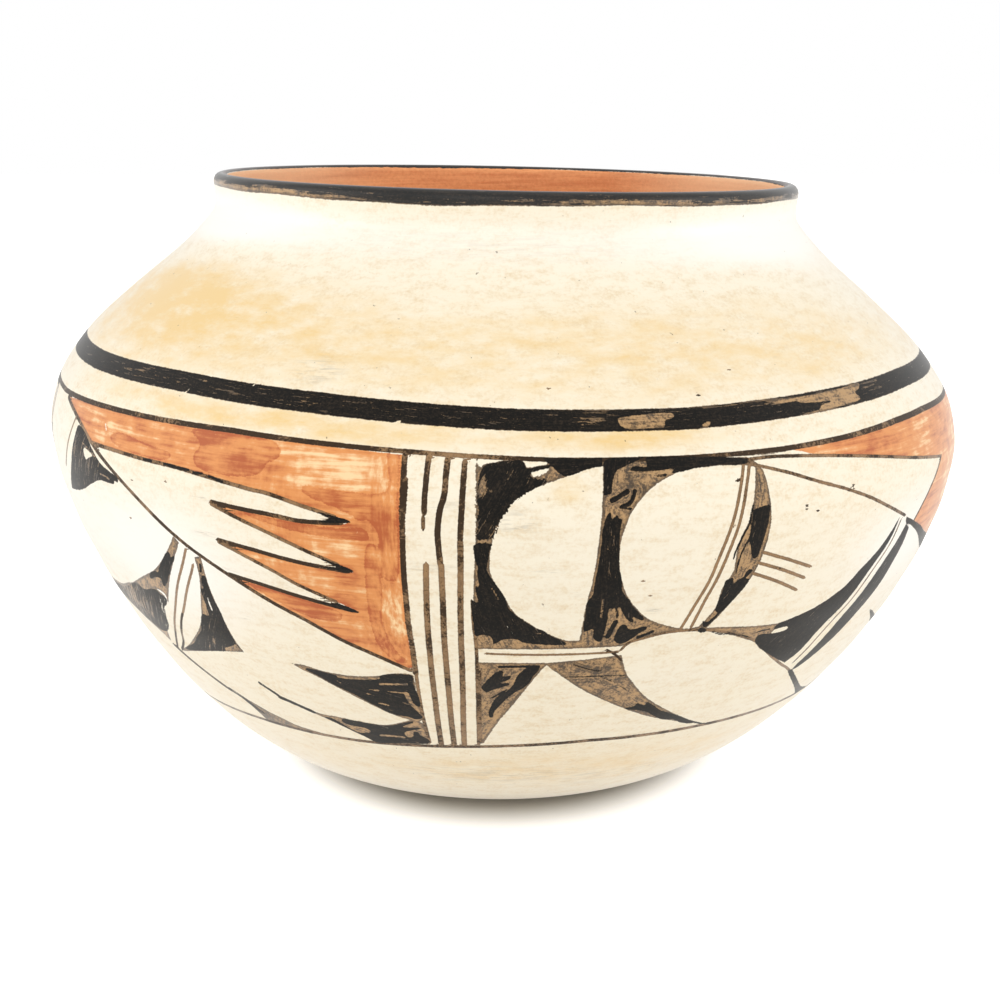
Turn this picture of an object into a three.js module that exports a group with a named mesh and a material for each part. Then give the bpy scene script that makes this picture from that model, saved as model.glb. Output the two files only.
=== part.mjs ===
// Coil-built ceramic jar: a flat-footed base pat, rings of clay stacked on it, and a rolled rim.
// Millimetres, +Z up. The origin is the middle of the foot, on the surface the jar stands on.
// Every piece is a solid of revolution about Z. Neighbours meet on flat horizontal beds, which is
// where one coil was pressed onto the next.

import * as THREE from 'three';

// Overall sizes
const JAR_HEIGHT = 180;
const FOOT_RADIUS = 62;
const BELLY_RADIUS = 140;
const BELLY_HEIGHT = 106;

// Clay thickness
const WALL = 5.5;
const FLOOR = 6.5;

// Heights of the first and last pieces; the coils share the height between them
const BASE_HEIGHT = 22;
const RIM_HEIGHT = 12;

// Rim: the neck where the rim coil starts, and the rolled lip at its top
const NECK_RADIUS = 90.5;
const LIP_RADIUS = 89.5;
const LIP_WIDTH = 4.8;
const LIP_ROUND = 2.6;

// Fullness of the wall line: slopes from the horizontal, and how far the line follows each tangent
const FOOT_SLOPE = 14;
const FOOT_REACH = 43;
const BELLY_DROP = 30;
const BELLY_RISE = 27.5;
const NECK_SLOPE = 126;
const NECK_REACH = 22.8;
const WAIST_REACH = 3.5;
const LIP_REACH = 4;

// Names of the coils from the base up
const COIL_NAMES = [
  'lower_coil_1', 'lower_coil_2', 'lower_coil_3', 'lower_coil_4',
  'belly_coil_1', 'belly_coil_2',
  'shoulder_coil_1', 'shoulder_coil_2', 'shoulder_coil_3',
  'neck_coil',
];

// Fineness of the surfaces
const TURN_STEPS = 60;
const COIL_STEPS = 3;
const BASE_STEPS = 5;
const RIM_STEPS = 6;
const LIP_STEPS = 6;

// Finishes: cream slip on the wall, dark paint on the lip
const slip = new THREE.MeshStandardMaterial({ color: '#e8d7b0', roughness: 0.55, metalness: 0 });
const darkPaint = new THREE.MeshStandardMaterial({ color: '#2e2621', roughness: 0.6, metalness: 0 });

const rimFoot = JAR_HEIGHT - RIM_HEIGHT;

// A unit vector at an angle above the horizontal, in the half plane of radius and height
function direction(degrees) {
  const angle = THREE.MathUtils.degToRad(degrees);
  return new THREE.Vector2(Math.cos(angle), Math.sin(angle));
}

// The outer wall line in radius and height: foot to belly, then belly to neck
const footPoint = new THREE.Vector2(FOOT_RADIUS, 0);
const bellyPoint = new THREE.Vector2(BELLY_RADIUS, BELLY_HEIGHT);
const neckPoint = new THREE.Vector2(NECK_RADIUS, rimFoot);
const neckDirection = direction(NECK_SLOPE);
const lowerWall = new THREE.CubicBezierCurve(
  footPoint,
  footPoint.clone().addScaledVector(direction(FOOT_SLOPE), FOOT_REACH),
  new THREE.Vector2(BELLY_RADIUS, BELLY_HEIGHT - BELLY_DROP),
  bellyPoint,
);
const upperWall = new THREE.CubicBezierCurve(
  bellyPoint,
  new THREE.Vector2(BELLY_RADIUS, BELLY_HEIGHT + BELLY_RISE),
  neckPoint.clone().addScaledVector(neckDirection, -NECK_REACH),
  neckPoint,
);

// Point of the wall at a place from 0 (foot) to 2 (neck), a depth inside its outer face
function wallPoint(place, depth) {
  const curve = place < 1 ? lowerWall : upperWall;
  const along = place < 1 ? place : place - 1;
  const point = curve.getPoint(along);
  const tangent = curve.getTangent(along);
  return new THREE.Vector2(point.x - tangent.y * depth, point.y + tangent.x * depth);
}

// Radius of the wall at a height, found by halving, because the line rises all the way
function wallRadius(height, depth) {
  let low = 0;
  let high = 2;
  while (high - low > 1e-7) {
    const middle = (low + high) / 2;
    if (wallPoint(middle, depth).y < height) low = middle;
    else high = middle;
  }
  return wallPoint(low, depth).x;
}

// Points of one face of the wall between two heights, both ends included
function wallLine(from, to, depth, steps) {
  const points = [];
  for (let i = 0; i <= steps; i += 1) {
    const height = THREE.MathUtils.lerp(from, to, i / steps);
    points.push(new THREE.Vector2(wallRadius(height, depth), height));
  }
  return points;
}

// A named piece turned about Z from an outline in radius and height
function turnedPiece(name, outline, material) {
  const geometry = new THREE.LatheGeometry(outline, TURN_STEPS);
  geometry.rotateX(Math.PI / 2);
  const piece = new THREE.Mesh(geometry, material);
  piece.name = name;
  return piece;
}

// The pat of clay that the jar was started on: a flat foot and a shallow bowl
function basePat() {
  const outline = [
    new THREE.Vector2(0, 0),
    ...wallLine(0, BASE_HEIGHT, 0, BASE_STEPS),
    ...wallLine(BASE_HEIGHT, FLOOR, WALL, BASE_STEPS),
    new THREE.Vector2(0, FLOOR),
  ];
  return turnedPiece('base_pat', outline, slip);
}

// One coil of the wall, drawn up to the wall's thickness, with flat beds below and above
function wallCoil(name, from, to) {
  const outline = [
    ...wallLine(from, to, 0, COIL_STEPS),
    ...wallLine(to, from, WALL, COIL_STEPS),
  ];
  outline.push(outline[0].clone());
  return turnedPiece(name, outline, slip);
}

// The last coil: it draws in to the waist, flares, and ends in a rolled lip
function rimCoil() {
  const lipHeight = JAR_HEIGHT - LIP_ROUND;
  const lipMiddle = LIP_RADIUS - LIP_WIDTH / 2;
  const lipInside = LIP_RADIUS - LIP_WIDTH;
  const throatPoint = new THREE.Vector2(wallRadius(rimFoot, WALL), rimFoot);
  const flare = new THREE.CubicBezierCurve(
    neckPoint,
    neckPoint.clone().addScaledVector(neckDirection, WAIST_REACH),
    new THREE.Vector2(LIP_RADIUS, lipHeight - LIP_REACH),
    new THREE.Vector2(LIP_RADIUS, lipHeight),
  );
  const lip = new THREE.EllipseCurve(lipMiddle, lipHeight, LIP_WIDTH / 2, LIP_ROUND, 0, Math.PI);
  const throat = new THREE.CubicBezierCurve(
    new THREE.Vector2(lipInside, lipHeight),
    new THREE.Vector2(lipInside, lipHeight - LIP_REACH),
    throatPoint.clone().addScaledVector(neckDirection, WAIST_REACH),
    throatPoint,
  );
  const outline = [
    ...flare.getPoints(RIM_STEPS),
    ...lip.getPoints(LIP_STEPS).slice(1, -1),
    ...throat.getPoints(RIM_STEPS),
  ];
  outline.push(outline[0].clone());
  return turnedPiece('rim_coil', outline, darkPaint);
}

const jar = new THREE.Group();
jar.add(basePat());
const coilHeight = (rimFoot - BASE_HEIGHT) / COIL_NAMES.length;
COIL_NAMES.forEach((name, index) => {
  const bed = BASE_HEIGHT + index * coilHeight;
  jar.add(wallCoil(name, bed, bed + coilHeight));
});
jar.add(rimCoil());

export default jar;
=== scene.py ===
"""Looks of a painted, coil-built ceramic jar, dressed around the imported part.

The clay is one hand-made surface, split into one closed piece for each coil of the part.
The painting is a set of outlines and brush lines, placed in degrees round the jar (0 is the front,
right is positive) and millimetres of height. Each vertex learns how deep it lies inside each paint,
and the materials turn that into slip, rust paint, brown wash and dense black.
"""
import math

import bpy
import numpy as np
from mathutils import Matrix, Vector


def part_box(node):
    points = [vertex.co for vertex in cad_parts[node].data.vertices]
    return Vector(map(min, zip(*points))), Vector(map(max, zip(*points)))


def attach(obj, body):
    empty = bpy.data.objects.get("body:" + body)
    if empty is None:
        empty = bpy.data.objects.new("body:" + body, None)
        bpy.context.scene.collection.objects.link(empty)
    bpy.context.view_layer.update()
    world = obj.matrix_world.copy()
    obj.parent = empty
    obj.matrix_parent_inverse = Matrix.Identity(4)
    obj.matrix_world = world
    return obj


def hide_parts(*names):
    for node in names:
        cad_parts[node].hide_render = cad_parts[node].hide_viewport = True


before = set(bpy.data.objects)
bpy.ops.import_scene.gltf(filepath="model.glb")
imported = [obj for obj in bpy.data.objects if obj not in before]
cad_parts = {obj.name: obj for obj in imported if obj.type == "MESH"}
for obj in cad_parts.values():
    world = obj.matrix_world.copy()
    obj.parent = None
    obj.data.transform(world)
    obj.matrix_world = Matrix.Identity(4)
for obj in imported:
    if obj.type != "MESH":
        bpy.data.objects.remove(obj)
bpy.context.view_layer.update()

MM = 0.001
TURN = 360.0

# Wall line, in millimetres and degrees: the same values as the solids
FOOT_RADIUS = 62.0
BELLY_RADIUS = 140.0
BELLY_HEIGHT = 106.0
WALL = 5.5
FLOOR = 6.5
RIM_FOOT = 168.0
NECK_RADIUS = 90.5
LIP_RADIUS = 89.5
LIP_WIDTH = 4.8
LIP_ROUND = 2.6
JAR_HEIGHT = 180.0
FOOT_SLOPE = 14.0
FOOT_REACH = 43.0
BELLY_DROP = 30.0
BELLY_RISE = 27.5
NECK_SLOPE = 126.0
NECK_REACH = 22.8
WAIST_REACH = 3.5
LIP_REACH = 4.0
COIL_PITCH = 14.6

# Hand-made unevenness, in millimetres and degrees. Each wave has its count round the jar, phase,
# drift with height and size
LEAN = 0.0242
LEAN_FROM = 9.0
LEAN_TO = 81.0
SIDE_SHIFT = 2.0
WAVES = ((2, 0.4, 0.008, 0.16), (3, 2.1, -0.02, 0.12), (5, 4.0, 0.035, 0.08), (11, 1.3, -0.06, 0.05))
RIM_DIP = 0.9
RIM_DIP_AT = -150.0
COIL_RIDGE = 0.08
COIL_RIDGE_INSIDE = 0.35
RIDGE_WANDER = 0.6
WAVE_FROM = 2.0
WAVE_TO = 30.0
DIP_FROM = 120.0
DIP_TO = 175.0

# Fineness of the meshes and of the section: columns round the jar, steps in millimetres, points
PAINTED_COLUMNS = 1800
PLAIN_COLUMNS = 600
INSIDE_COLUMNS = 300
PAINTED_STEP = 0.5
PLAIN_STEP = 1.5
RIM_STEP = 0.5
INSIDE_STEP = 3.0
HUB_RADIUS = 3.0
CURVE_POINTS = 400
RIM_POINTS = 80
FOOT_POINTS = 40
FLOOR_INSET = 1.0
STRETCH_SPAN = 0.2

# Heights between which the coils carry paint
PAINT_LOW = 25.0
PAINT_HIGH = 137.0

# Camera and stage, in metres and degrees
CAMERA_PLACE = (0.0, -0.489, 0.202)
CAMERA_PITCH = 14.48
CAMERA_LENS = 55.56
CAMERA_SENSOR = 36.0
CAMERA_CLIP = 0.01
FLOOR_SIZE = 8.0
FLOOR_DROP = 0.0003
LAMP_AIM = (0, 0, 0.09)

# Soft square lamps: name, place, size and power
LAMPS = (
    ("front", (-0.2, -1.4, 0.8), 1.0, 4.2),
    ("left_side", (-1.1, -0.35, 0.5), 0.8, 3.7),
    ("right_side", (1.1, -0.35, 0.5), 0.8, 3.7),
    ("top", (0.1, -0.2, 1.5), 1.0, 1.0),
)


def rgb(red, green, blue):
    """A colour given in screen values from 0 to 255, as the shader's linear colour."""
    parts = []
    for value in (red, green, blue):
        share = value / 255
        parts.append(share / 12.92 if share <= 0.04045 else ((share + 0.055) / 1.055) ** 2.4)
    return (*parts, 1.0)


# Colours and shine
SLIP_SHINE = 0.22
BLACK_SHINE = 0.1
SLIP_ROUGH = 0.42
SLIP_SHEEN = 0.6
BLACK_SHEEN = 0.4
SHEEN_ROUGH = 0.35
LIP_SHINE = 0.45
LIP_ROUGH = 0.3
SLIP_PALE = rgb(247, 237, 215)
SLIP_CREAM = rgb(228, 206, 168)
SLIP_WARM = rgb(238, 206, 146)
# Whiter slip, which at the neck and the sides is a painted highlight
SLIP_WHITE_AND_HIGHLIGHT = rgb(254, 250, 242)
SLIP_GREY = rgb(150, 140, 125)
SPECK = rgb(96, 74, 52)
RUST_PALE = rgb(250, 214, 164)
RUST_MID = rgb(226, 150, 88)
RUST_DEEP = rgb(182, 95, 52)
WASH_PALE = rgb(180, 142, 96)
WASH_DARK = rgb(56, 38, 22)
LINE_PALE = rgb(136, 104, 70)
LINE_DARK = rgb(40, 29, 20)
BLACK = rgb(14, 13, 11)
BLACK_WORN = rgb(54, 45, 36)
# Painted light: the paler clay at the jar's two sides
CLAY_PAINTED_LIGHT = rgb(253, 208, 164)
CLAY_LIGHT = rgb(248, 172, 112)
CLAY_DARK = rgb(212, 130, 78)
FLOOR_WHITE = rgb(208, 205, 199)

# Paint of the lip: heights of its edges outside and inside, the rise of the outer edge at the two
# sides, its waver as count, phase and size, and how patchy its black is
LIP_PAINT_OUTSIDE = 176.2
LIP_PAINT_INSIDE = 179.2
LIP_SIDE_RISE = 0.8
LIP_WAVER = ((3, 0.8, 0.3), (7, 0.0, 0.15), (17, 2.0, 0.12))
LIP_WAVER_INSIDE = 0.5
LIP_PATCHY = 0.1

# Wear on the lip's outer edge: everywhere, how far the wash stays beyond the black, and the place and
# height of the wear. Then worn places as azimuth, half width in degrees and strength
LIP_WORN = 0.15
LIP_WASH_BEYOND = 0.3
LIP_WASH_WORN = 0.35
LIP_WEAR_ABOVE = 0.3
LIP_WEAR_TALL = 1.5
LIP_WEAR = (
    (-48, 18, 0.9), (24, 17, 0.6), (54, 7, 0.5), (-80, 14, 0.6), (78, 12, 0.5), (150, 24, 0.5),
    (-120, 20, 0.4),
)

# The floor's own light: radii in metres and levels there, the share that also lights the jar, and how much
# nearer the jar the light starts at its sides. Where it is none, near the jar, it leaves a painted shade
# round the foot, and its share that lights the jar is a glow, not a lamp. Then the level of the sky's light
FLOOR_NEAR = 0.0665
FLOOR_FAR = 0.091
FLOOR_GLOW_NEAR = 0.0
FLOOR_GLOW_FAR = 0.8
FLOOR_BOUNCE = 0.29
SHADOW_SQUEEZE = 1.16
SKY_LIGHT = 0.72


# The wall as a line in radius and height

def direction(degrees):
    angle = math.radians(degrees)
    return np.array([math.cos(angle), math.sin(angle)])


def bezier(first, second, third, last, steps):
    t = np.linspace(0, 1, steps)[:, None]
    s = 1 - t
    return first * s**3 + 3 * second * s * s * t + 3 * third * s * t * t + last * t**3


def offset_line(line, depth):
    """The line moved by depth to its left."""
    tangent = np.gradient(line, axis=0)
    tangent /= np.linalg.norm(tangent, axis=1)[:, None]
    return line + depth * np.stack([-tangent[:, 1], tangent[:, 0]], 1)


def outer_wall():
    """The outer face from the foot to the neck."""
    foot = np.array([FOOT_RADIUS, 0.0])
    belly = np.array([BELLY_RADIUS, BELLY_HEIGHT])
    neck = np.array([NECK_RADIUS, RIM_FOOT])
    leave = foot + FOOT_REACH * direction(FOOT_SLOPE)
    arrive = neck - NECK_REACH * direction(NECK_SLOPE)
    lower = bezier(foot, leave, belly - (0, BELLY_DROP), belly, CURVE_POINTS)
    upper = bezier(belly, belly + (0, BELLY_RISE), arrive, neck, CURVE_POINTS)
    return np.vstack([lower, upper[1:]])


def rim_line(throat_radius):
    """The flare, the rolled lip and the throat, from the outside to the inside."""
    neck = np.array([NECK_RADIUS, RIM_FOOT])
    throat = np.array([throat_radius, RIM_FOOT])
    waist = WAIST_REACH * direction(NECK_SLOPE)
    lip_height = JAR_HEIGHT - LIP_ROUND
    outside = np.array([LIP_RADIUS, lip_height])
    inside = np.array([LIP_RADIUS - LIP_WIDTH, lip_height])
    flare = bezier(neck, neck + waist, outside - (0, LIP_REACH), outside, RIM_POINTS)
    turn = np.linspace(0, math.pi, RIM_POINTS)
    middle = LIP_RADIUS - LIP_WIDTH / 2
    lip = np.stack([middle + LIP_WIDTH / 2 * np.cos(turn), lip_height + LIP_ROUND * np.sin(turn)], 1)
    down = bezier(inside, inside - (0, LIP_REACH), throat + waist, throat, RIM_POINTS)
    return np.vstack([flare[1:], lip[1:], down[1:]])


def level_line(from_radius, to_radius, height):
    return np.stack([np.linspace(from_radius, to_radius, FOOT_POINTS), np.full(FOOT_POINTS, height)], 1)


def join_section():
    """The whole outline of the clay: under the foot, up the outside, over the lip and down inside."""
    outer = outer_wall()
    inner = offset_line(outer, WALL)[::-1]
    inner = inner[inner[:, 1] > FLOOR]
    foot = level_line(HUB_RADIUS, FOOT_RADIUS, 0.0)
    floor = level_line(inner[-1, 0] - FLOOR_INSET, HUB_RADIUS, FLOOR)
    rim = rim_line(inner[0, 0])
    line = np.vstack([foot, outer[1:], rim, inner, floor])
    run = np.concatenate([[0], np.cumsum(np.linalg.norm(np.diff(line, axis=0), axis=1))])
    top = len(foot) + len(outer) - 1
    return line, run, top, top + len(rim)


SECTION, RUN, RIM_FROM, RIM_UNTIL = join_section()


def outside_run(height):
    """Distance along the section to a height on the outside."""
    part = slice(FOOT_POINTS, RIM_FROM)
    return np.interp(height, SECTION[part, 1], RUN[part])


def inside_run(height):
    """Distance along the section to a height on the inside."""
    part = slice(RIM_UNTIL - 1, None)
    return np.interp(-height, -SECTION[part, 1], RUN[part])


def rim_run(height, inside=False):
    """Distance along the section to a height on the rim, outside or inside the lip."""
    part = np.arange(RIM_FROM - 1, RIM_UNTIL)
    crest = part[0] + int(np.argmax(SECTION[part, 1]))
    if inside:
        part = np.arange(crest, RIM_UNTIL)
        return np.interp(-height, -SECTION[part, 1], RUN[part])
    part = np.arange(RIM_FROM - 1, crest + 1)
    return np.interp(height, SECTION[part, 1], RUN[part])


def wall_radius(height):
    part = slice(FOOT_POINTS, RIM_FROM)
    return np.interp(height, SECTION[part, 1], SECTION[part, 0])


def wall_stretch(height):
    """Length of wall for each millimetre of height."""
    rise = outside_run(height + STRETCH_SPAN) - outside_run(height - STRETCH_SPAN)
    return rise / (2 * STRETCH_SPAN)


# The clay surface

def smooth_step(value, low, high):
    share = np.clip((value - low) / (high - low), 0, 1)
    return share * share * (3 - 2 * share)


def hand_wave(azimuth, height, inside):
    """Unevenness of the radius left by pinching and scraping, in millimetres."""
    angle = np.radians(azimuth)
    wave = np.zeros(np.broadcast(azimuth, height).shape)
    for count, phase, drift, size in WAVES:
        wave = wave + size * np.sin(count * angle + phase + drift * height)
    ridge = COIL_RIDGE_INSIDE if inside else COIL_RIDGE
    wander = RIDGE_WANDER * np.sin(2 * angle)
    return wave + ridge * np.sin(2 * math.pi * height / COIL_PITCH + wander)


def clay_points(run, azimuth, inside):
    """Places in metres on the hand-made clay, from a distance along the section and an azimuth."""
    radius = np.interp(run, RUN, SECTION[:, 0])
    height = np.interp(run, RUN, SECTION[:, 1])
    grown = smooth_step(height, WAVE_FROM, WAVE_TO)
    radius = radius + grown * hand_wave(azimuth, height, inside)
    angle = np.radians(azimuth)
    x = radius * np.sin(angle)
    y = -radius * np.cos(angle)
    dip = RIM_DIP * smooth_step(height, DIP_FROM, DIP_TO)
    dip = dip * 0.5 * (1 + np.cos(np.radians(azimuth - RIM_DIP_AT)))
    z = height - LEAN * x * smooth_step(height, LEAN_FROM, LEAN_TO) - dip
    x = x + SIDE_SHIFT * height / JAR_HEIGHT
    return np.stack([x, y, z], -1) * MM


def clay_strip(rows, columns, inside):
    """Vertices and normals of a band of clay. Each row is a ring of columns vertices."""
    azimuth = (np.arange(columns) * TURN / columns)[None, :]
    run = rows[:, None]
    nudge = 0.25
    points = clay_points(run, azimuth, inside)
    upward = clay_points(run + nudge, azimuth, inside) - clay_points(run - nudge, azimuth, inside)
    onward = clay_points(run, azimuth + nudge, inside) - clay_points(run, azimuth - nudge, inside)
    normals = np.cross(onward, upward)
    normals /= np.linalg.norm(normals, axis=2)[:, :, None]
    return points.reshape(-1, 3), normals.reshape(-1, 3)


def strip_rows(start, end, step):
    return np.linspace(start, end, max(2, math.ceil((end - start) / step) + 1))


def strip_faces(rows, columns, first):
    """Quads of a band of rings, numbered from the vertex first, facing out of the clay."""
    row, column = np.meshgrid(np.arange(rows - 1), np.arange(columns), indexing="ij")
    after = (column + 1) % columns
    corner = [row * columns + column, row * columns + after]
    corner += [(row + 1) * columns + after, (row + 1) * columns + column]
    return (first + np.stack(corner, -1).reshape(-1, 4)).tolist()


def bed_faces(from_ring, to_ring):
    """Faces between two rings, where one has a whole number of times the other's vertices."""
    faces = []
    least = min(len(from_ring), len(to_ring))
    for i in range(least):
        near = ring_part(from_ring, i, least)
        far = ring_part(to_ring, i, least)
        faces.append(near + far[::-1])
    return faces


def ring_part(ring, index, parts):
    step = len(ring) // parts
    return [ring[k % len(ring)] for k in range(index * step, (index + 1) * step + 1)]


# The painting

# Depth far outside a paint, how far round a line depths are worked out, slack in the test that keeps
# lines apart, how patchy dense black is, and how far black stays inside the edge of a broad band
OUTSIDE = -3.0
REACH = 3.0
LINE_SLACK = 0.3
DENSE = 0.12
BAND_INSET = 0.1
TINY = 1e-12

# The paints that cover areas, from the lowest up
PAINTS = ("rust", "coat", "wash", "black")


def smooth_line(points, closed):
    """A smooth line through the points. A point given twice is a corner."""
    steps = 4
    p = np.array(points, float)
    ends = np.vstack([p[-1:], p, p[:2]]) if closed else np.vstack([p[:1], p, p[-1:]])
    a, b, c, d = (ends[i : len(ends) - 3 + i, None] for i in range(4))
    t = (np.arange(steps) / steps)[None, :, None]
    line = b + 0.5 * (c - a) * t + (a - 2.5 * b + 2 * c - 0.5 * d) * t**2
    line = line + 0.5 * (3 * b - a - 3 * c + d) * t**3
    line = np.where((b == c).all(-1, keepdims=True), b, line).reshape(-1, 2)
    return np.vstack([line, line[:1]]) if closed else np.vstack([line, p[-1:]])


class Paint:
    """Paint on one ring of wall: how deep each vertex lies inside each paint, in millimetres."""

    def __init__(self, azimuth, height):
        self.azimuth = azimuth
        self.height = height
        self.per_degree = np.radians(1) * wall_radius(height)
        self.per_height = wall_stretch(height)
        self.depth = {kind: np.full(len(azimuth), OUTSIDE) for kind in PAINTS}
        self.patchy = np.ones(len(azimuth))
        self.along = np.zeros(len(azimuth))
        self.across = np.zeros(len(azimuth))
        self.line_depth = np.full(len(azimuth), OUTSIDE)
        self.line_side = np.full(len(azimuth), REACH)
        self.line_half = np.zeros(len(azimuth))
        self.line_patchy = np.ones(len(azimuth))
        self.at(0.0)

    def at(self, turn, squeeze=1.0):
        """What is painted next lies this far round the jar, and may be squeezed along it."""
        self.turn = turn
        self.squeeze = squeeze

    def placed(self, points, closed):
        return smooth_line(points, closed) * (self.squeeze, 1) + (self.turn, 0)

    def near(self, line):
        """Vertices within reach of a line, and their azimuths counted on from the line's own."""
        low = line.min(0)
        high = line.max(0)
        middle = (low[0] + high[0]) / 2
        azimuth = middle + (self.azimuth - middle + 180) % TURN - 180
        reach = REACH / self.per_degree
        found = (azimuth > low[0] - reach) & (azimuth < high[0] + reach)
        found &= (self.height > low[1] - REACH) & (self.height < high[1] + REACH)
        index = np.nonzero(found)[0]
        return index, azimuth[index]

    def seen_from(self, line, index, azimuth):
        """The line's points in millimetres, as each vertex sees them in its own plane."""
        x = (line[None, :, 0] - azimuth[:, None]) * self.per_degree[index, None]
        y = (line[None, :, 1] - self.height[index, None]) * self.per_height[index, None]
        return x, y

    def distance(self, line, index, azimuth):
        """Distance to a line, negative on one side of it."""
        x, y = self.seen_from(line, index, azimuth)
        dx = np.diff(x, axis=1)
        dy = np.diff(y, axis=1)
        length = dx * dx + dy * dy + TINY
        share = np.clip(-(x[:, :-1] * dx + y[:, :-1] * dy) / length, 0, 1)
        square = (x[:, :-1] + share * dx) ** 2 + (y[:, :-1] + share * dy) ** 2
        best = square.argmin(1)
        row = np.arange(len(index))
        side = np.where((x[:, :-1] * dy - y[:, :-1] * dx)[row, best] < 0, -1.0, 1.0)
        return side * np.sqrt(square[row, best])

    def inside(self, line, index, azimuth):
        """Depth inside a closed line, negative outside it."""
        x, y = self.seen_from(line, index, azimuth)
        over = (y[:, :-1] > 0) != (y[:, 1:] > 0)
        dy = np.diff(y, axis=1)
        crossing = x[:, :-1] - y[:, :-1] * np.diff(x, axis=1) / np.where(dy == 0, TINY, dy)
        odd = (over & (crossing > 0)).sum(1) % 2 == 1
        distance = np.abs(self.distance(line, index, azimuth))
        return np.where(odd, distance, -distance)

    def lay(self, kind, index, depth, patchy, along, across):
        upper = depth > self.depth[kind][index]
        at = index[upper]
        self.depth[kind][at] = depth[upper]
        if kind in ("rust", "coat"):
            return
        self.along[at] = along[upper]
        self.across[at] = across[upper]
        if kind == "black":
            self.patchy[at] = patchy

    def fill(self, kind, outline, cuts=(), patchy=DENSE, angle=0.0):
        """An area of paint, less the areas in cuts, brushed at an angle from the level."""
        line = self.placed(outline, True)
        index, azimuth = self.near(line)
        if not len(index):
            return
        depth = self.inside(line, index, azimuth)
        for cut in cuts:
            depth = np.minimum(depth, -self.inside(self.placed(cut, True), index, azimuth))
        x = (azimuth - line[0, 0]) * self.per_degree[index]
        y = (self.height[index] - line[0, 1]) * self.per_height[index]
        cos, sin = direction(angle)
        self.lay(kind, index, depth, patchy, x * cos + y * sin, y * cos - x * sin)

    def line(self, points, width, patchy=DENSE):
        """A brush line of wash with more or less black on it."""
        line = self.placed(points, False)
        index, azimuth = self.near(line)
        if len(index):
            self.lay_line(index, self.distance(line, index, azimuth), width / 2, patchy)

    def lay_line(self, index, side, half, patchy):
        depth = half - np.abs(side)
        upper = depth > self.line_depth[index]
        at = index[upper]
        self.line_depth[at] = depth[upper]
        self.line_side[at] = side[upper]
        self.line_half[at] = np.broadcast_to(half, len(index))[upper]
        self.line_patchy[at] = patchy

    def ring(self, heights, patchy, broad=False):
        """A line or broad band all the way round: azimuth, height and width at places along it."""
        table = np.array(heights, float)
        places = np.vstack([table - (TURN, 0, 0), table, table + (TURN, 0, 0)])
        middle = np.interp(self.azimuth, places[:, 0], places[:, 1])
        width = np.interp(self.azimuth, places[:, 0], places[:, 2])
        away = (self.height - middle) * self.per_height
        index = np.nonzero(np.abs(away) < width / 2 + REACH)[0]
        along = (self.azimuth * math.radians(BELLY_RADIUS))[index]
        if not broad:
            self.lay_line(index, away[index], width[index] / 2, patchy)
            return
        depth = (width / 2 - np.abs(away))[index]
        self.lay("wash", index, depth, patchy, along, away[index])
        self.lay("black", index, depth - BAND_INSET, patchy, along, away[index])

    def stroke(self, points, width, patchy=DENSE):
        """A brush stroke of dense black."""
        line = self.placed(points, False)
        index, azimuth = self.near(line)
        if len(index):
            side = self.distance(line, index, azimuth)
            along = (self.height[index] - line[0, 1]) * self.per_height[index]
            self.lay("black", index, width / 2 - np.abs(side), patchy, along, side)

    def bare(self, kind, outline):
        """An area where this paint is missing."""
        line = self.placed(outline, True)
        index, azimuth = self.near(line)
        if len(index):
            clear = -self.inside(line, index, azimuth)
            self.depth[kind][index] = np.minimum(self.depth[kind][index], clear)

    def lift(self, kind, points, width):
        """A slit where this paint is missing."""
        line = self.placed(points, False)
        index, azimuth = self.near(line)
        if len(index):
            clear = np.abs(self.distance(line, index, azimuth)) - width / 2
            self.depth[kind][index] = np.minimum(self.depth[kind][index], clear)

    def wear(self, spots):
        """Soft spots where the black is thinner."""
        worn = soft_spots(self.azimuth, self.height, spots, self.turn)
        self.patchy = self.patchy + worn
        self.line_patchy = self.line_patchy + worn


def soft_spots(azimuth, height, spots, turn=0.0):
    """Sum of soft spots: azimuth, height, half width in degrees, half height and strength of each."""
    total = np.zeros(len(azimuth))
    for place, level, wide, tall, strength in spots:
        away = (azimuth - place - turn + 180) % TURN - 180
        total += strength * np.exp(-((away / wide) ** 2) - ((height - level) / tall) ** 2)
    return total


# Where the motifs lie round the jar, in degrees from the front. The moon and the oval also have a
# squeeze, which leaves room for the wing at the left
QUARTERS = (0, 90, 180, 270)
HORN_TURNS = (0, 90, 180)
FIELD_TURNS = (0, 180, 270)
MOON_SECTORS = ((0, 1), (90, 1), (180, 1), (269.3, 0.74))

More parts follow.
